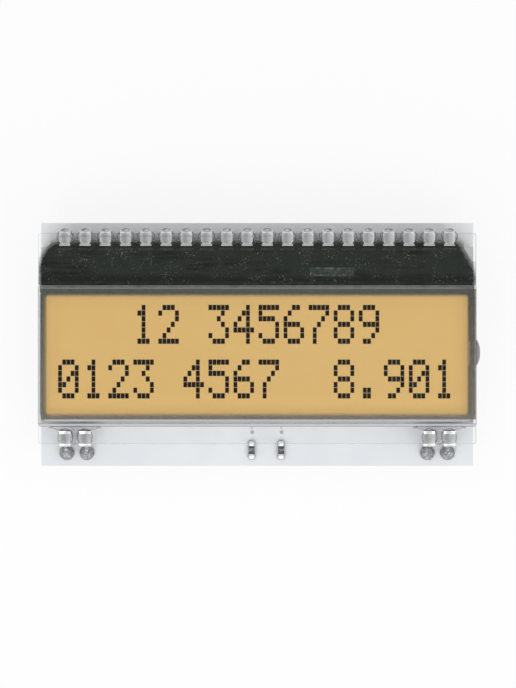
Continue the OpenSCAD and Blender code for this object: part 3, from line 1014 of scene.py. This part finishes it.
@dataclass
class Backlight:
    """The white board with its resistors, solder and vias, the light guide, films and diodes."""

    board: Box = field(default_factory=lambda: Box.of("backlight_board"))
    guide: Box = field(default_factory=lambda: Box.of("light_guide"))
    joint_sink: float = 0.05
    crust_voxel: float = 0.045
    crust_noise: Pair = (0.24, 0.12)
    wick_shift: float = 0.5
    wick_rise: float = 0.02
    wick_radii: Triple = (0.36, 0.42, 0.34)
    fillet_half: float = 0.46
    fillet_height: float = 0.52
    fillet_rise: float = 0.02
    fillet_side: float = 0.04
    fillet_voxel: float = 0.03
    fillet_noise: Pair = (0.5, 0.03)
    cap_length: float = 0.3
    foot_gap: float = 0.004
    pad_ring: float = 0.32
    pad_thickness: float = 0.03
    hole_radius: float = 0.45
    ring_vertices: int = 32
    via_radii: Triple = (0.26, 0.26, 0.05)
    small_via_radii: Triple = (0.12, 0.12, 0.04)
    via_gap: float = 0.55
    via_shift: float = 1.45

    def build(self) -> None:
        """Makes the board's small parts and dresses the nodes that stay."""
        self.sheets()
        amber = Satin("amber_diode", linear(226, 156, 60), linear(214, 140, 48), tone_size=0.5, roughness=0.2,
                      grain_size=0.1, coat=0.5).material()
        grainy = GrainySolder("grainy_solder", linear(190, 191, 193), linear(104, 107, 110)).material()
        bright = SmoothSolder("bright_solder", linear(246, 247, 248), linear(96, 99, 102)).material()
        for node in sorted(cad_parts):
            if node.startswith("led_"):
                dress(node, amber)
            elif node.startswith("resistor_solder_"):
                self.end_fillets(node, bright)
            elif node.startswith("resistor_"):
                box = Box.of(node)
                dress(node, ChipResistor(f"{node}_finish", box.centre.y, box.size.y / 2 - self.cap_length,
                                         linear(52, 52, 54), (0.86, 0.87, 0.88)).material())
            elif node.startswith(JOINT_NAME):
                self.solder_dome(node, grainy)
        self.pads()
        self.vias()

    def sheets(self) -> None:
        """Dresses the board, the light guide and the films.

        The board is painted paler beyond the guide's upper side, as painted light where the glass and the
        pins shade it, and the films are painted darker near it, as painted shade under the coating.
        """
        guide_top = (0, self.guide.high.y)
        # Painted light: the board grows paler towards and beyond the guide's upper side, where the glass
        # shades it
        white = Satin("white_solder_mask", linear(224, 227, 230), linear(217, 220, 225), tone_size=6,
                      roughness=0.38, grain_size=0.1, grain_depth=0.003,
                      painted_light_and_shade=(((guide_top, UP, (-8.0, 0.4)), linear(238, 240, 242)),))
        dress("backlight_board", white.material())
        # Painted shade: the films darken towards the guide's upper side, under the coating.
        # Their glow is partly the lit backlight and partly painted light that lifts their shaded strips.
        film = Satin("white_film", linear(238, 238, 236), linear(230, 230, 228), roughness=0.6, glow=0.12,
                     painted_light_and_shade=(((guide_top, UP, (-2.4, 0.0)), linear(203, 204, 205)),)).material()
        dress("reflector_film", film)
        dress("diffuser_film", film)
        frosted = Satin("frosted_guide", linear(232, 228, 214), linear(222, 218, 204), tone_size=8,
                        roughness=0.28, grain_size=0.2, grain_depth=0.002, coat=0.3)
        dress("light_guide", frosted.material())

    def solder_dome(self, node: str, material: Material) -> None:
        """Makes the crusty dome of solder on a corner pin.

        Args:
            node: The solder joint's node.
            material: The solder.
        """
        box, base = Box.of(node), self.board.high.z + self.joint_sink
        x, y, radius = box.centre.x, box.centre.y, box.size.x / 2
        dome = ellipsoid((x, y, base), (radius, radius, box.high.z - base), 48)
        wick = ellipsoid((x, y + self.wick_shift, box.high.z + self.wick_rise), self.wick_radii, 24)
        lump = melt([dome, wick], node.replace("joint", "dome"), self.crust_voxel)
        ruffle(lump, *self.crust_noise)
        modify(lump, "SMOOTH", factor=0.4, iterations=1)
        self.seat(lump, node, material)

    def end_fillets(self, node: str, material: Material) -> None:
        """Makes the rounded solder over both end caps of a resistor.

        Args:
            node: The node of the resistor's fillets.
            material: The solder.
        """
        box, base = Box.of(node), self.board.high.z + self.fillet_rise
        radii = (box.size.x / 2 + self.fillet_side, self.fillet_half, self.fillet_height)
        reach = box.size.y / 2 - self.fillet_half
        lumps = [ellipsoid((box.centre.x, box.centre.y + end * reach, base), radii) for end in (-1, 1)]
        fillets = melt(lumps, f"{node}_drops", self.fillet_voxel)
        ruffle(fillets, *self.fillet_noise)
        modify(fillets, "SMOOTH", factor=0.5, iterations=2)
        self.seat(fillets, node, material)

    def seat(self, lump: Piece, node: str, material: Material) -> None:
        """Cuts a lump of solder off at the board and puts it in its node's place.

        Args:
            lump: The solder.
            node: The node that it stands for.
            material: Its finish.
        """
        cut_flat(lump, (0, 0, self.board.high.z + self.foot_gap), (0, 0, -1))
        smooth(lump)
        settle(lump, "solder", material, node)

    def ring(self, centre: Sequence[float]) -> Piece:
        """Makes one flat plated ring around a hole.

        Args:
            centre: The middle of the ring.

        Returns:
            The ring.
        """
        clear_choice()
        bpy.ops.mesh.primitive_circle_add(vertices=self.ring_vertices, radius=self.hole_radius,
                                          fill_type="NOTHING", location=centre)
        ring = stretched()
        share = (self.hole_radius + self.pad_ring) / self.hole_radius

        def widen() -> None:
            """Draws the circle out to the ring's rim."""
            bpy.ops.mesh.extrude_edges_move()
            bpy.ops.transform.resize(value=(share, share, 1), center_override=centre)
            bpy.ops.mesh.select_all(action="SELECT")
            bpy.ops.mesh.normals_make_consistent(inside=False)

        edit(ring, widen)
        modify(ring, "SOLIDIFY", thickness=self.pad_thickness, offset=0)
        return ring

    def pads(self) -> None:
        """Makes the plated rings on the board's underside around the soldered pins."""
        joints = [Box.of(node).centre for node in sorted(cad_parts) if node.startswith(JOINT_NAME)]
        level = self.board.low.z - self.pad_thickness / 3
        pads = join([self.ring((centre.x, centre.y, level)) for centre in joints], "board_pads")
        smooth(pads, 30)
        settle(pads, "solder", Tin("plated_pad", (0.8, 0.79, 0.76), 0.3, 0.004).material())

    def vias(self) -> None:
        """Makes the small filled vias beside each resistor, seen through the ledge of the glass."""
        dots = []
        for box in (Box.of("resistor_1"), Box.of("resistor_2")):
            x, y, z = box.centre.x, box.high.y + self.via_shift, self.board.high.z
            dots.append(ellipsoid((x + 0.07, y, z), self.via_radii, 20))
            dots.append(ellipsoid((x + 0.02, y + self.via_gap, z), self.small_via_radii, 16))
        vias = join(dots, "board_vias")
        smooth(vias)
        cap = Satin("via_cap", linear(176, 180, 184), linear(160, 164, 168), tone_size=0.3)
        settle(vias, "board_white", cap.material())


@dataclass
class Cell:
    """The glass plates with the amber layer, its characters, the films, the seal and the plug."""

    front: Box = field(default_factory=lambda: Box.of("front_glass"))
    rear: Box = field(default_factory=lambda: Box.of("rear_glass"))
    crystal: Box = field(default_factory=lambda: Box.of("liquid_crystal"))
    film: Box = field(default_factory=lambda: Box.of("front_polariser"))
    seal: Box = field(default_factory=lambda: Box.of("seal_ring"))
    bevel: float = 0.07
    ground_width: float = 0.34
    skin: float = 0.004
    corner: float = 0.55
    dot_gap: float = 0.02
    coating_shade_width: float = 0.55
    plug_voxel: float = 0.05
    bare_cloud: float = 0.24
    opening_low: Triple = (0.17, 0.03, 0)
    opening_high: Triple = (0.07, 0.03, 0)
    clear: Colour = (0.985, 0.989, 0.989)

    @property
    def window(self) -> Box:
        """The cell's window: the layer without the part that runs into the filling port."""
        low, high = self.crystal.low, self.crystal.high
        return Box(low.copy(), Vector((-low.x, high.y, high.z)))

    def build(self) -> None:
        """Makes the plates and the layer, and dresses the films, the seal and the chip."""
        self.plates()
        self.amber_layer()
        Characters(self.window.high.z - 0.01).build()
        self.films()
        self.seal_resin()
        self.coating_shade_sheet()
        dress("driver_chip", Satin("ground_silicon", linear(88, 90, 96), linear(78, 80, 86), tone_size=0.5,
                                   roughness=0.25).material())
        self.plug()

    def plates(self) -> None:
        """Makes both glass plates with broken edges, a hair inside their nodes so that no faces coincide."""
        common = {"haze": 0.01, "gloss": 0.3, "faint_left": self.film.low.x}
        # The edge grey is partly the ground edge and partly painted shade on the plates' steep sides
        frosted = linear(150, 155, 158)
        ground = (self.front.low.y, self.front.low.y + self.ground_width)
        rear = ClearPlate("rear_plate_glass", self.clear, frosted, 0.75, **common)
        front = ClearPlate("front_plate_glass", self.clear, frosted, 0.6, bevel=ground,
                           margin=(self.film.low.x, self.bare_cloud), **common)
        for side, finish in (("front", front), ("rear", rear)):
            plate = copy_node(f"{side}_glass", f"{side}_plate")
            round_edges(plate, self.bevel)
            edit(plate, lambda: bpy.ops.transform.shrink_fatten(value=-self.skin))
            smooth(plate, 30)
            settle(plate, "glass_clear", finish.material(), f"{side}_glass")

    def amber_layer(self) -> None:
        """Makes the lit layer a hair below its node's top, so that the characters lie on it."""
        window = self.window
        layer = copy_node("liquid_crystal", "amber_layer")
        for vertex in layer.data.vertices:
            vertex.co.z = min(max(vertex.co.z, window.low.z + self.skin), window.high.z - self.dot_gap)
        smooth(layer, 30)
        # The second colour is the rim's painted light
        finish = AmberLayer("lit_amber", window, linear(210, 173, 109), linear(231, 194, 130), 0.27)
        settle(layer, "liquid_crystal", finish.material(), "liquid_crystal")

    def films(self) -> None:
        """Dresses both polarisers. The front one's clear part is a little wider than the cell's window."""
        window = self.window
        opening = Box(window.low - Vector(self.opening_low), window.high + Vector(self.opening_high))
        dress("front_polariser", PolariserFilm(
            "front_film", opening, self.corner, (0.985, 0.985, 0.98), linear(82, 82, 76),
            linear(120, 115, 107), 0.9, self.film.high.x).material())
        dress("rear_polariser", Satin("rear_film", linear(226, 228, 230), linear(218, 221, 223),
                                      roughness=0.3).material())

    def seal_resin(self) -> None:
        """Dresses the seal with painted light and shade: amber tints of the lit window painted beside it,
        painted light below the front film, a greyer band beyond the film's left end, painted shade along the
        top under the coating, and a painted glow.
        """
        low, high = self.window.low, self.window.high
        near = (-0.3, 0.0)
        painted_light_and_shade = ((((high.x, 0), RIGHT, near), linear(146, 124, 84)),
                  (((0, low.y), DOWN, near), linear(214, 196, 158)),
                  (((low.x, 0), LEFT, near), linear(205, 176, 118)),
                  (((self.film.low.x, 0), LEFT, (-0.15, 0.05)), linear(186, 187, 188)),
                  (((0, self.film.low.y), DOWN, (-0.1, 0.02)), linear(236, 238, 240)),
                  (((0, high.y), UP, near), linear(148, 150, 146)))
        # The glow is painted light that lifts the seal where the films and the coating shade it
        dress("seal_ring", Satin("seal_resin", linear(236, 238, 240), linear(226, 229, 231), tone_size=0.6,
                                 glow=0.1, painted_light_and_shade=painted_light_and_shade).material())

    def coating_shade_sheet(self) -> None:
        """Makes a grey sheet between the plates along the upper side of the seal: painted shade that stands
        for the black coating's shadow and for the coating seen through the glass's edge.
        """
        half = self.seal.high.x
        low, high = self.seal.low.z + self.skin, self.front.low.z - self.skin
        film = block((-half, self.seal.high.y - self.coating_shade_width, low + 0.01), (half, self.front.high.y, high))
        edit(film, lambda: bpy.ops.mesh.bevel(offset=0.01, segments=1))
        ruffle(film, 1.2, 0.004)
        film.name = film.data.name = "painted_coating_shade"
        smooth(film, 30)
        grey = Satin("painted_shade_grey", linear(160, 163, 158), linear(132, 135, 131), tone_size=1.2,
                     grain_size=0.2, roughness=0.5)
        settle(film, "coating_black", grey.material())

    def plug(self) -> None:
        """Makes the drop of resin on the filling port, rounded by its own surface tension."""
        plug = copy_node("end_plug", "port_plug")
        modify(plug, "REMESH", mode="VOXEL", voxel_size=self.plug_voxel)
        modify(plug, "SMOOTH", factor=0.5, iterations=4)
        cut_flat(plug, (self.rear.high.x, 0, 0), (-1, 0, 0))
        smooth(plug)
        resin = ClearPlate("plug_resin", (0.5, 0.5, 0.51), linear(150, 150, 153), 0.7, haze=0.7,
                           roughness=0.1)
        settle(plug, "plug_resin", resin.material(), "end_plug")


# Dot patterns of the figures, five dots wide and seven high
FIGURES = {
    "0": (".###.", "#...#", "#..##", "#.#.#", "##..#", "#...#", ".###."),
    "1": ("..#..", ".##..", "..#..", "..#..", "..#..", "..#..", ".###."),
    "2": (".###.", "#...#", "....#", "...#.", "..#..", ".#...", "#####"),
    "3": ("#####", "...#.", "..#..", "...#.", "....#", "#...#", ".###."),
    "4": ("...#.", "..##.", ".#.#.", "#..#.", "#####", "...#.", "...#."),
    "5": ("#####", "#....", "####.", "....#", "....#", "#...#", ".###."),
    "6": ("..##.", ".#...", "#....", "####.", "#...#", "#...#", ".###."),
    "7": ("#####", "....#", "...#.", "..#..", ".#...", ".#...", ".#..."),
    "8": (".###.", "#...#", "#...#", ".###.", "#...#", "#...#", ".###."),
    "9": (".###.", "#...#", "#...#", ".####", "....#", "...#.", ".##.."),
    ".": (".....", ".....", ".....", ".....", ".....", ".##..", ".##.."),
}


@dataclass
class Characters:
    """Two lines of sixteen dot characters that show plain counting figures."""

    top: float
    lines: tuple[str, str] = ("   12 3456789   ", "0123 4567  8.901")
    first_x: float = -24.99
    line_tops: Pair = (4.96, -1.9)
    cell_pitch: float = 3.145
    dot_pitch: Pair = (0.524, 0.706)
    dot_size: Pair = (0.478, 0.655)
    dot_round: float = 0.035
    thickness: float = 0.008

    def places(self) -> list[Vector]:
        """Finds the middle of every dark dot.

        Returns:
            The places, in the plane of the glass.
        """
        found = []
        for text, line_top in zip(self.lines, self.line_tops):
            for cell, figure in enumerate(text):
                for row, pattern in enumerate(FIGURES.get(figure, ())):
                    for column, mark in enumerate(pattern):
                        if mark == "#":
                            x = self.first_x + cell * self.cell_pitch + column * self.dot_pitch[0]
                            y = line_top - row * self.dot_pitch[1]
                            found.append(Vector((x + self.dot_size[0] / 2, y - self.dot_size[1] / 2, 0)))
        return found

    def build(self) -> None:
        """Makes one dot with softened corners and sets a copy at every place."""
        half_x, half_y = self.dot_size[0] / 2, self.dot_size[1] / 2
        dot = block((-half_x, -half_y, self.top - self.thickness), (half_x, half_y, self.top))
        round_edges(dot, self.dot_round)
        copies = []
        for place in self.places():
            copy = bpy.data.objects.new("dot", dot.data.copy())
            copy.data.transform(Matrix.Translation(place))
            bpy.context.scene.collection.objects.link(copy)
            copies.append(copy)
        bpy.data.objects.remove(dot)
        dots = join(copies, "character_dots")
        ink = Satin("dark_dots", linear(16, 7, 4), linear(12, 4, 3), tone_size=0.8, roughness=0.6,
                    specular=0.02)
        settle(dots, "liquid_crystal", ink.material())


@dataclass
class Ledge:
    """What lies on the bare ledges of the rear plate: the black coating and the clear adhesive."""

    coating: Box = field(default_factory=lambda: Box.of("chip_coating"))
    rear: Box = field(default_factory=lambda: Box.of("rear_glass"))
    front: Box = field(default_factory=lambda: Box.of("front_glass"))
    bead: Box = field(default_factory=lambda: Box.of("pin_glue_top"))
    head_half: float = 0.7
    skin: float = 0.006
    lobe_gap: float = 0.04
    lobe_low: float = 0.1
    lobe_back: float = 0.3
    lobe_height: float = 0.16
    lap_side: float = 0.1
    lap_low: float = 0.3
    lap_high: float = 0.23
    lap_height: float = 0.42
    neck_place: Triple = (0.04, 0.48, 0.12)
    neck_radii: Triple = (0.24, 0.19, 0.26)
    end_out: float = 0.12
    end_in: float = 0.6
    end_sink: float = 0.2
    end_height: float = 0.14
    end_lengths: Pair = (4.2, 3)
    coating_voxel: float = 0.075
    coating_noise: Pair = (1.6, 0.05)
    dome_back: float = 0.65
    dome_sink: float = 0.05
    top_dome: Triple = (1.04, 1.28, 0.58)
    top_drop: Triple = (0.5, 0.5, 0.3)
    top_voxel: float = 0.08
    corner_dome: Triple = (0.95, 1.15, 0.5)
    corner_voxel: float = 0.07
    corner_noise: Pair = (0.7, 0.07)
    below_ledge: float = 0.15

    def build(self) -> None:
        """Makes the coating and the three beads of adhesive."""
        self.black_coating()
        middle = self.rear.high.y - 0.45
        self.top_bead(self.adhesive(upper_pins(), middle, middle - 0.3))
        corner_adhesive = self.adhesive(lower_pins(), self.rear.low.y + 0.9)
        for side in Side:
            self.corner_blob(side, corner_adhesive)

    def adhesive(self, pins: list[str], middle_y: float, faint_below: float | None = None) -> Material:
        """Makes the finish of the adhesive over a row of pins.

        Args:
            pins: The pins' nodes.
            middle_y: The place of the domes' middles along Y.
            faint_below: Where the domes end, if something hides their lower parts.

        Returns:
            The material.
        """
        first, second = (Box.of(node).centre.x for node in pins[:2])
        # The dark edge grey is painted shade on the adhesive's steep slopes
        return ClearPlate(f"clear_adhesive_{len(pins)}", (0.93, 0.935, 0.94), linear(84, 87, 88), 0.7,
                          steep=(0.85, 0.45), haze=0.03, roughness=0.18, wave_size=0.7, wave_depth=0.006,
                          domes=Domes(first, second - first, middle_y, faint_below)).material()

    def black_coating(self) -> None:
        """Softens the coating as it cured: rounded margins, a sagging skin and laps around the clips."""
        centres = [Box.of(node).centre.x for node in upper_pins()]
        tip = min(Box.of(node).low.y for node in upper_pins())
        ledge, edge = self.coating.low.z, self.rear.high.y
        low, high = self.coating.low, self.coating.high
        pitch = centres[1] - centres[0]
        lobe, lap = pitch / 2 - self.head_half + self.lobe_gap, self.head_half + self.lap_side
        lumps = [copy_node("chip_coating", "black_coating")]
        for index in range(len(centres) + 1):
            x = centres[0] + (index - 0.5) * pitch
            lumps.append(block((x - lobe, tip - self.lobe_low, ledge),
                               (x + lobe, edge - self.lobe_back, ledge + self.lobe_height)))
        out, along, up = self.neck_place
        for x in centres:
            lumps.append(block((x - lap, tip - self.lap_low, ledge),
                               (x + lap, tip + self.lap_high, ledge + self.lap_height)))
            for side in Side:
                neck = x + side.value * (self.head_half + out)
                lumps.append(ellipsoid((neck, tip + along, ledge + up), self.neck_radii, 16))
        ends = ((low.x - self.end_out, low.x + self.end_in), (high.x - self.end_in, high.x + self.end_out))
        for (start, end), length in zip(ends, self.end_lengths):
            lumps.append(block((start, low.y, ledge - self.end_sink),
                               (end, low.y + length, ledge + self.end_height)))
        coating = melt(lumps, "black_coating", self.coating_voxel, 3)
        ruffle(coating, *self.coating_noise)
        cut_flat(coating, (0, 0, ledge), (0, 0, -1))
        smooth(coating)
        margins = self.coating_margins(centres[0] - pitch / 2, centres[-1] + pitch / 2, tip)
        finish = BlackCoating("cured_black", (0.0105, 0.0148, 0.0115), (0.002, 0.003, 0.0022),
                              linear(122, 130, 124), Box.of("driver_chip"), low.y, tip + 0.1, margins)
        settle(coating, "coating_black", finish.material(), "chip_coating")

    def coating_margins(self, left: float, right: float, tip: float) -> tuple[Edge, ...]:
        """Lists the lines along which the coating thins out.

        Args:
            left: Where the upper margin starts along X.
            right: Where the upper margin ends.
            tip: Where the clips' fingers end along Y.

        Returns:
            The two ends, the slanted upper corners and the upper margin.
        """
        low, high = self.coating.low, self.coating.high
        flush, top = (-1.0, 0.4), high.y - 0.1
        corner, slant = (low.x + 0.45, tip - 0.4), (high.x, low.y + 2.3)
        return (((low.x, 0), RIGHT, flush), ((high.x, 0), LEFT, flush),
                (corner, (top - corner[1], corner[0] - left), (-0.7, 0.6)),
                ((low.x + 0.35, tip - 0.95), (0.9, -0.44), (-0.5, 0.5)),
                (slant, (slant[1] - top, right - slant[0]), (-0.6, 0.7)),
                ((0, self.rear.high.y - 0.35), DOWN, (0.0, 1.1)))

    def trim(self, adhesive: Piece) -> None:
        """Cuts the places of both plates and what would hang below them out of a drop of adhesive.

        Args:
            adhesive: The drop.
        """
        skin, rear = Vector((1, self.skin, self.skin)), self.rear
        cutters = [block(box.low - skin, box.high + skin) for box in (rear, self.front)]
        cutters.append(block(rear.low - Vector((1, 2, 2)),
                             (rear.high.x + 1, rear.high.y + 2, rear.low.z + self.below_ledge)))
        cut_away(adhesive, cutters)
        smooth(adhesive, 60)

    def top_bead(self, material: Material) -> None:
        """Makes the bead along the upper clips: a dome over each clip, with saddles between them.

        Args:
            material: The adhesive.
        """
        ledge, edge = self.rear.high.z, self.rear.high.y
        y, z = edge - self.dome_back, ledge - self.dome_sink
        lumps = [ellipsoid((Box.of(node).centre.x, y, z), self.top_dome, 40) for node in upper_pins()]
        lumps.append(ellipsoid((0, edge - 0.5, ledge), self.top_drop, 24))
        lumps.append(block((self.bead.low.x, edge - 0.95, ledge - 0.5),
                           (self.bead.high.x, edge - 0.02, ledge + 0.26)))
        bead = melt(lumps, "clear_bead_top", self.top_voxel, 10)
        self.trim(bead)
        settle(bead, "glue_clear", material, "pin_glue_top")

    def corner_blob(self, side: Side, material: Material) -> None:
        """Makes the blob around one pair of corner clips, drawn up to the front plate.

        Args:
            side: The end of the display.
            material: The adhesive.
        """
        ledge, edge, step = self.rear.high.z, self.rear.low.y, self.front.low.y
        name = side.name.lower()
        centres = [x for x in (Box.of(node).centre.x for node in lower_pins()) if x * side.value > 0]
        middle = sum(centres) / 2
        lumps = [ellipsoid((x, edge + 0.85, ledge), self.corner_dome, 40) for x in centres]
        # Each lump: how far it is shifted from the middle, its place along Y and Z, its radii and facets
        for shift, y, z, radii, facets in (
                (0, step - 0.1, 0.1, (3.0, 0.42, 0.42), 40), (0, edge + 1.1, 0, (1.9, 0.95, 0.26), 40),
                (0, edge + 0.12, 0, (0.4, 0.22, 0.2), 24), (-2.1, step - 0.3, 0.1, (0.5, 0.16, 0.34), 24),
                (-2.95, step - 0.14, 0.1, (0.42, 0.12, 0.34), 24),
                (2.15, step - 0.24, 0.1, (0.6, 0.18, 0.34), 24),
                (3.0, step - 0.12, 0.1, (0.4, 0.1, 0.34), 24), (0.1, step - 0.42, 0.1, (0.3, 0.3, 0.34), 24)):
            lumps.append(ellipsoid((middle + shift, y, ledge + z), radii, facets))
        blob = melt(lumps, f"clear_blob_{name}", self.corner_voxel, 5)
        ruffle(blob, *self.corner_noise)
        self.trim(blob)
        settle(blob, "glue_clear", material, f"pin_glue_{name}")


@dataclass
class Pins:
    """The stamped and plated clip pins, with the rolled edges that stamping leaves."""

    edge_round: float = 0.014
    painted_band_back: float = 0.42
    painted_band_half: float = 0.12
    painted_shade_back: float = 0.6
    colour: Colour = (0.83, 0.835, 0.84)
    roughness: float = 0.16
    line_depth: float = 0.0008

    def build(self) -> None:
        """Makes every pin from its node."""
        plating = (self.colour, self.roughness, self.line_depth)
        # The upper pins get the painted reflection band and painted shade towards their tips
        painted_band = Box.of("rear_glass").high.y - self.painted_band_back
        painted_reflection_band = Tin("tin_with_painted_band", *plating, painted_reflection_band=(painted_band, self.painted_band_half),
                     painted_shade_below=painted_band - self.painted_shade_back)
        for nodes, finish in ((upper_pins(), painted_reflection_band), (lower_pins(), Tin("bright_tin", *plating))):
            tin = finish.material()
            for node in nodes:
                pin = copy_node(node, f"tinned_{node}")
                round_edges(pin, self.edge_round, 40)
                smooth(pin, 40)
                settle(pin, "pin_tin", tin, node)


# --------------------------------------------------------------------------------------------------
# Studio
# --------------------------------------------------------------------------------------------------


@dataclass
class Studio:
    """A pale floor, soft light and a camera straight above the display."""

    distance: float = 350.0
    look_at: Pair = (0.1, 0.05)
    face_level: float = 5.5
    field_height: float = 86.2
    sensor: float = 36.0
    clip_start: float = 0.01
    floor_size: float = 6.0
    floor_white: float = 0.86
    lamp_size: float = 0.45

    def build(self) -> None:
        """Sets up everything around the object."""
        self.camera()
        self.floor()
        self.world()
        self.lamp("lamp_left", (-0.3, -0.45, 0.42), 1.5)
        self.lamp("lamp_right", (0.36, -0.4, 0.42), 1.35)
        bpy.context.scene.view_settings.view_transform = "Standard"

    def camera(self) -> None:
        """Adds the camera, looking straight down with +Y up."""
        data = bpy.data.cameras.new("camera")
        data.sensor_width = self.sensor
        data.lens = self.sensor * self.distance / self.field_height
        data.clip_start = self.clip_start
        camera = bpy.data.objects.new("camera", data)
        camera.location = Vector((*self.look_at, self.distance + self.face_level)) * MM
        bpy.context.scene.collection.objects.link(camera)
        bpy.context.scene.camera = camera

    def floor(self) -> None:
        """Adds the floor under the pins' tips. It is white to the camera and keeps a soft shadow."""
        clear_choice()
        low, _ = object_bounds()
        bpy.ops.mesh.primitive_plane_add(size=self.floor_size, location=(0, 0, low[2]))
        floor = bpy.context.view_layer.objects.active
        floor.name = "floor"
        graph = Graph("pale_floor")
        rays = graph.add("ShaderNodeLightPath").outputs
        seen = graph.math("MAXIMUM", graph.math("MAXIMUM", rays["Is Camera Ray"], rays["Is Glossy Ray"]),
                          rays["Is Transmission Ray"])
        paper = graph.add("ShaderNodeBsdfDiffuse", {"Color": (0.9, 0.9, 0.9)})
        white = graph.add("ShaderNodeEmission", {"Color": (0.985, 0.985, 0.985)})
        paint(floor, graph.finish(graph.blend(graph.product(seen, self.floor_white), paper, white)))
        floor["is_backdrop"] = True

    def world(self) -> None:
        """Lights the scene evenly from all round, a little less from straight above."""
        graph = Graph("studio", world=True)
        around = graph.remap(graph.along("Y"), -1.0, 1.0, 1.15, 0.55)
        above = graph.remap(graph.along("X"), -0.01, 0.07, 0.54, 0.84)
        height = graph.along("Z")
        sky = graph.level(graph.remap(height, 0.4, 0.6), around, 1.13)
        sky = graph.level(graph.remap(height, 0.84, 0.93), sky, above)
        camera_ray = graph.add("ShaderNodeLightPath").outputs["Is Camera Ray"]
        strength = graph.level(camera_ray, sky, 1.0)
        bpy.context.scene.world = graph.finish(graph.add("ShaderNodeBackground", {"Strength": strength}))

    def lamp(self, name: str, place: Sequence[float], power: float) -> None:
        """Adds a soft square lamp that faces the object.

        Args:
            name: Its name.
            place: Where it stands, in metres.
            power: Its power, in watts.
        """
        data = bpy.data.lights.new(name, "AREA")
        data.size, data.energy = self.lamp_size, power
        lamp = bpy.data.objects.new(name, data)
        lamp.location = place
        lamp.rotation_euler = (-Vector(place)).to_track_quat("-Z", "Y").to_euler()
        bpy.context.scene.collection.objects.link(lamp)


def main() -> None:
    """Builds the studio and every sub-assembly."""
    logging.basicConfig(level=logging.INFO, format="%(name)s: %(message)s")
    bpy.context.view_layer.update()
    for assembly in (Studio(), Backlight(), Cell(), Ledge(), Pins()):
        assembly.build()
        log.info("%s done", type(assembly).__name__)


if __name__ == "__main__":
    main()
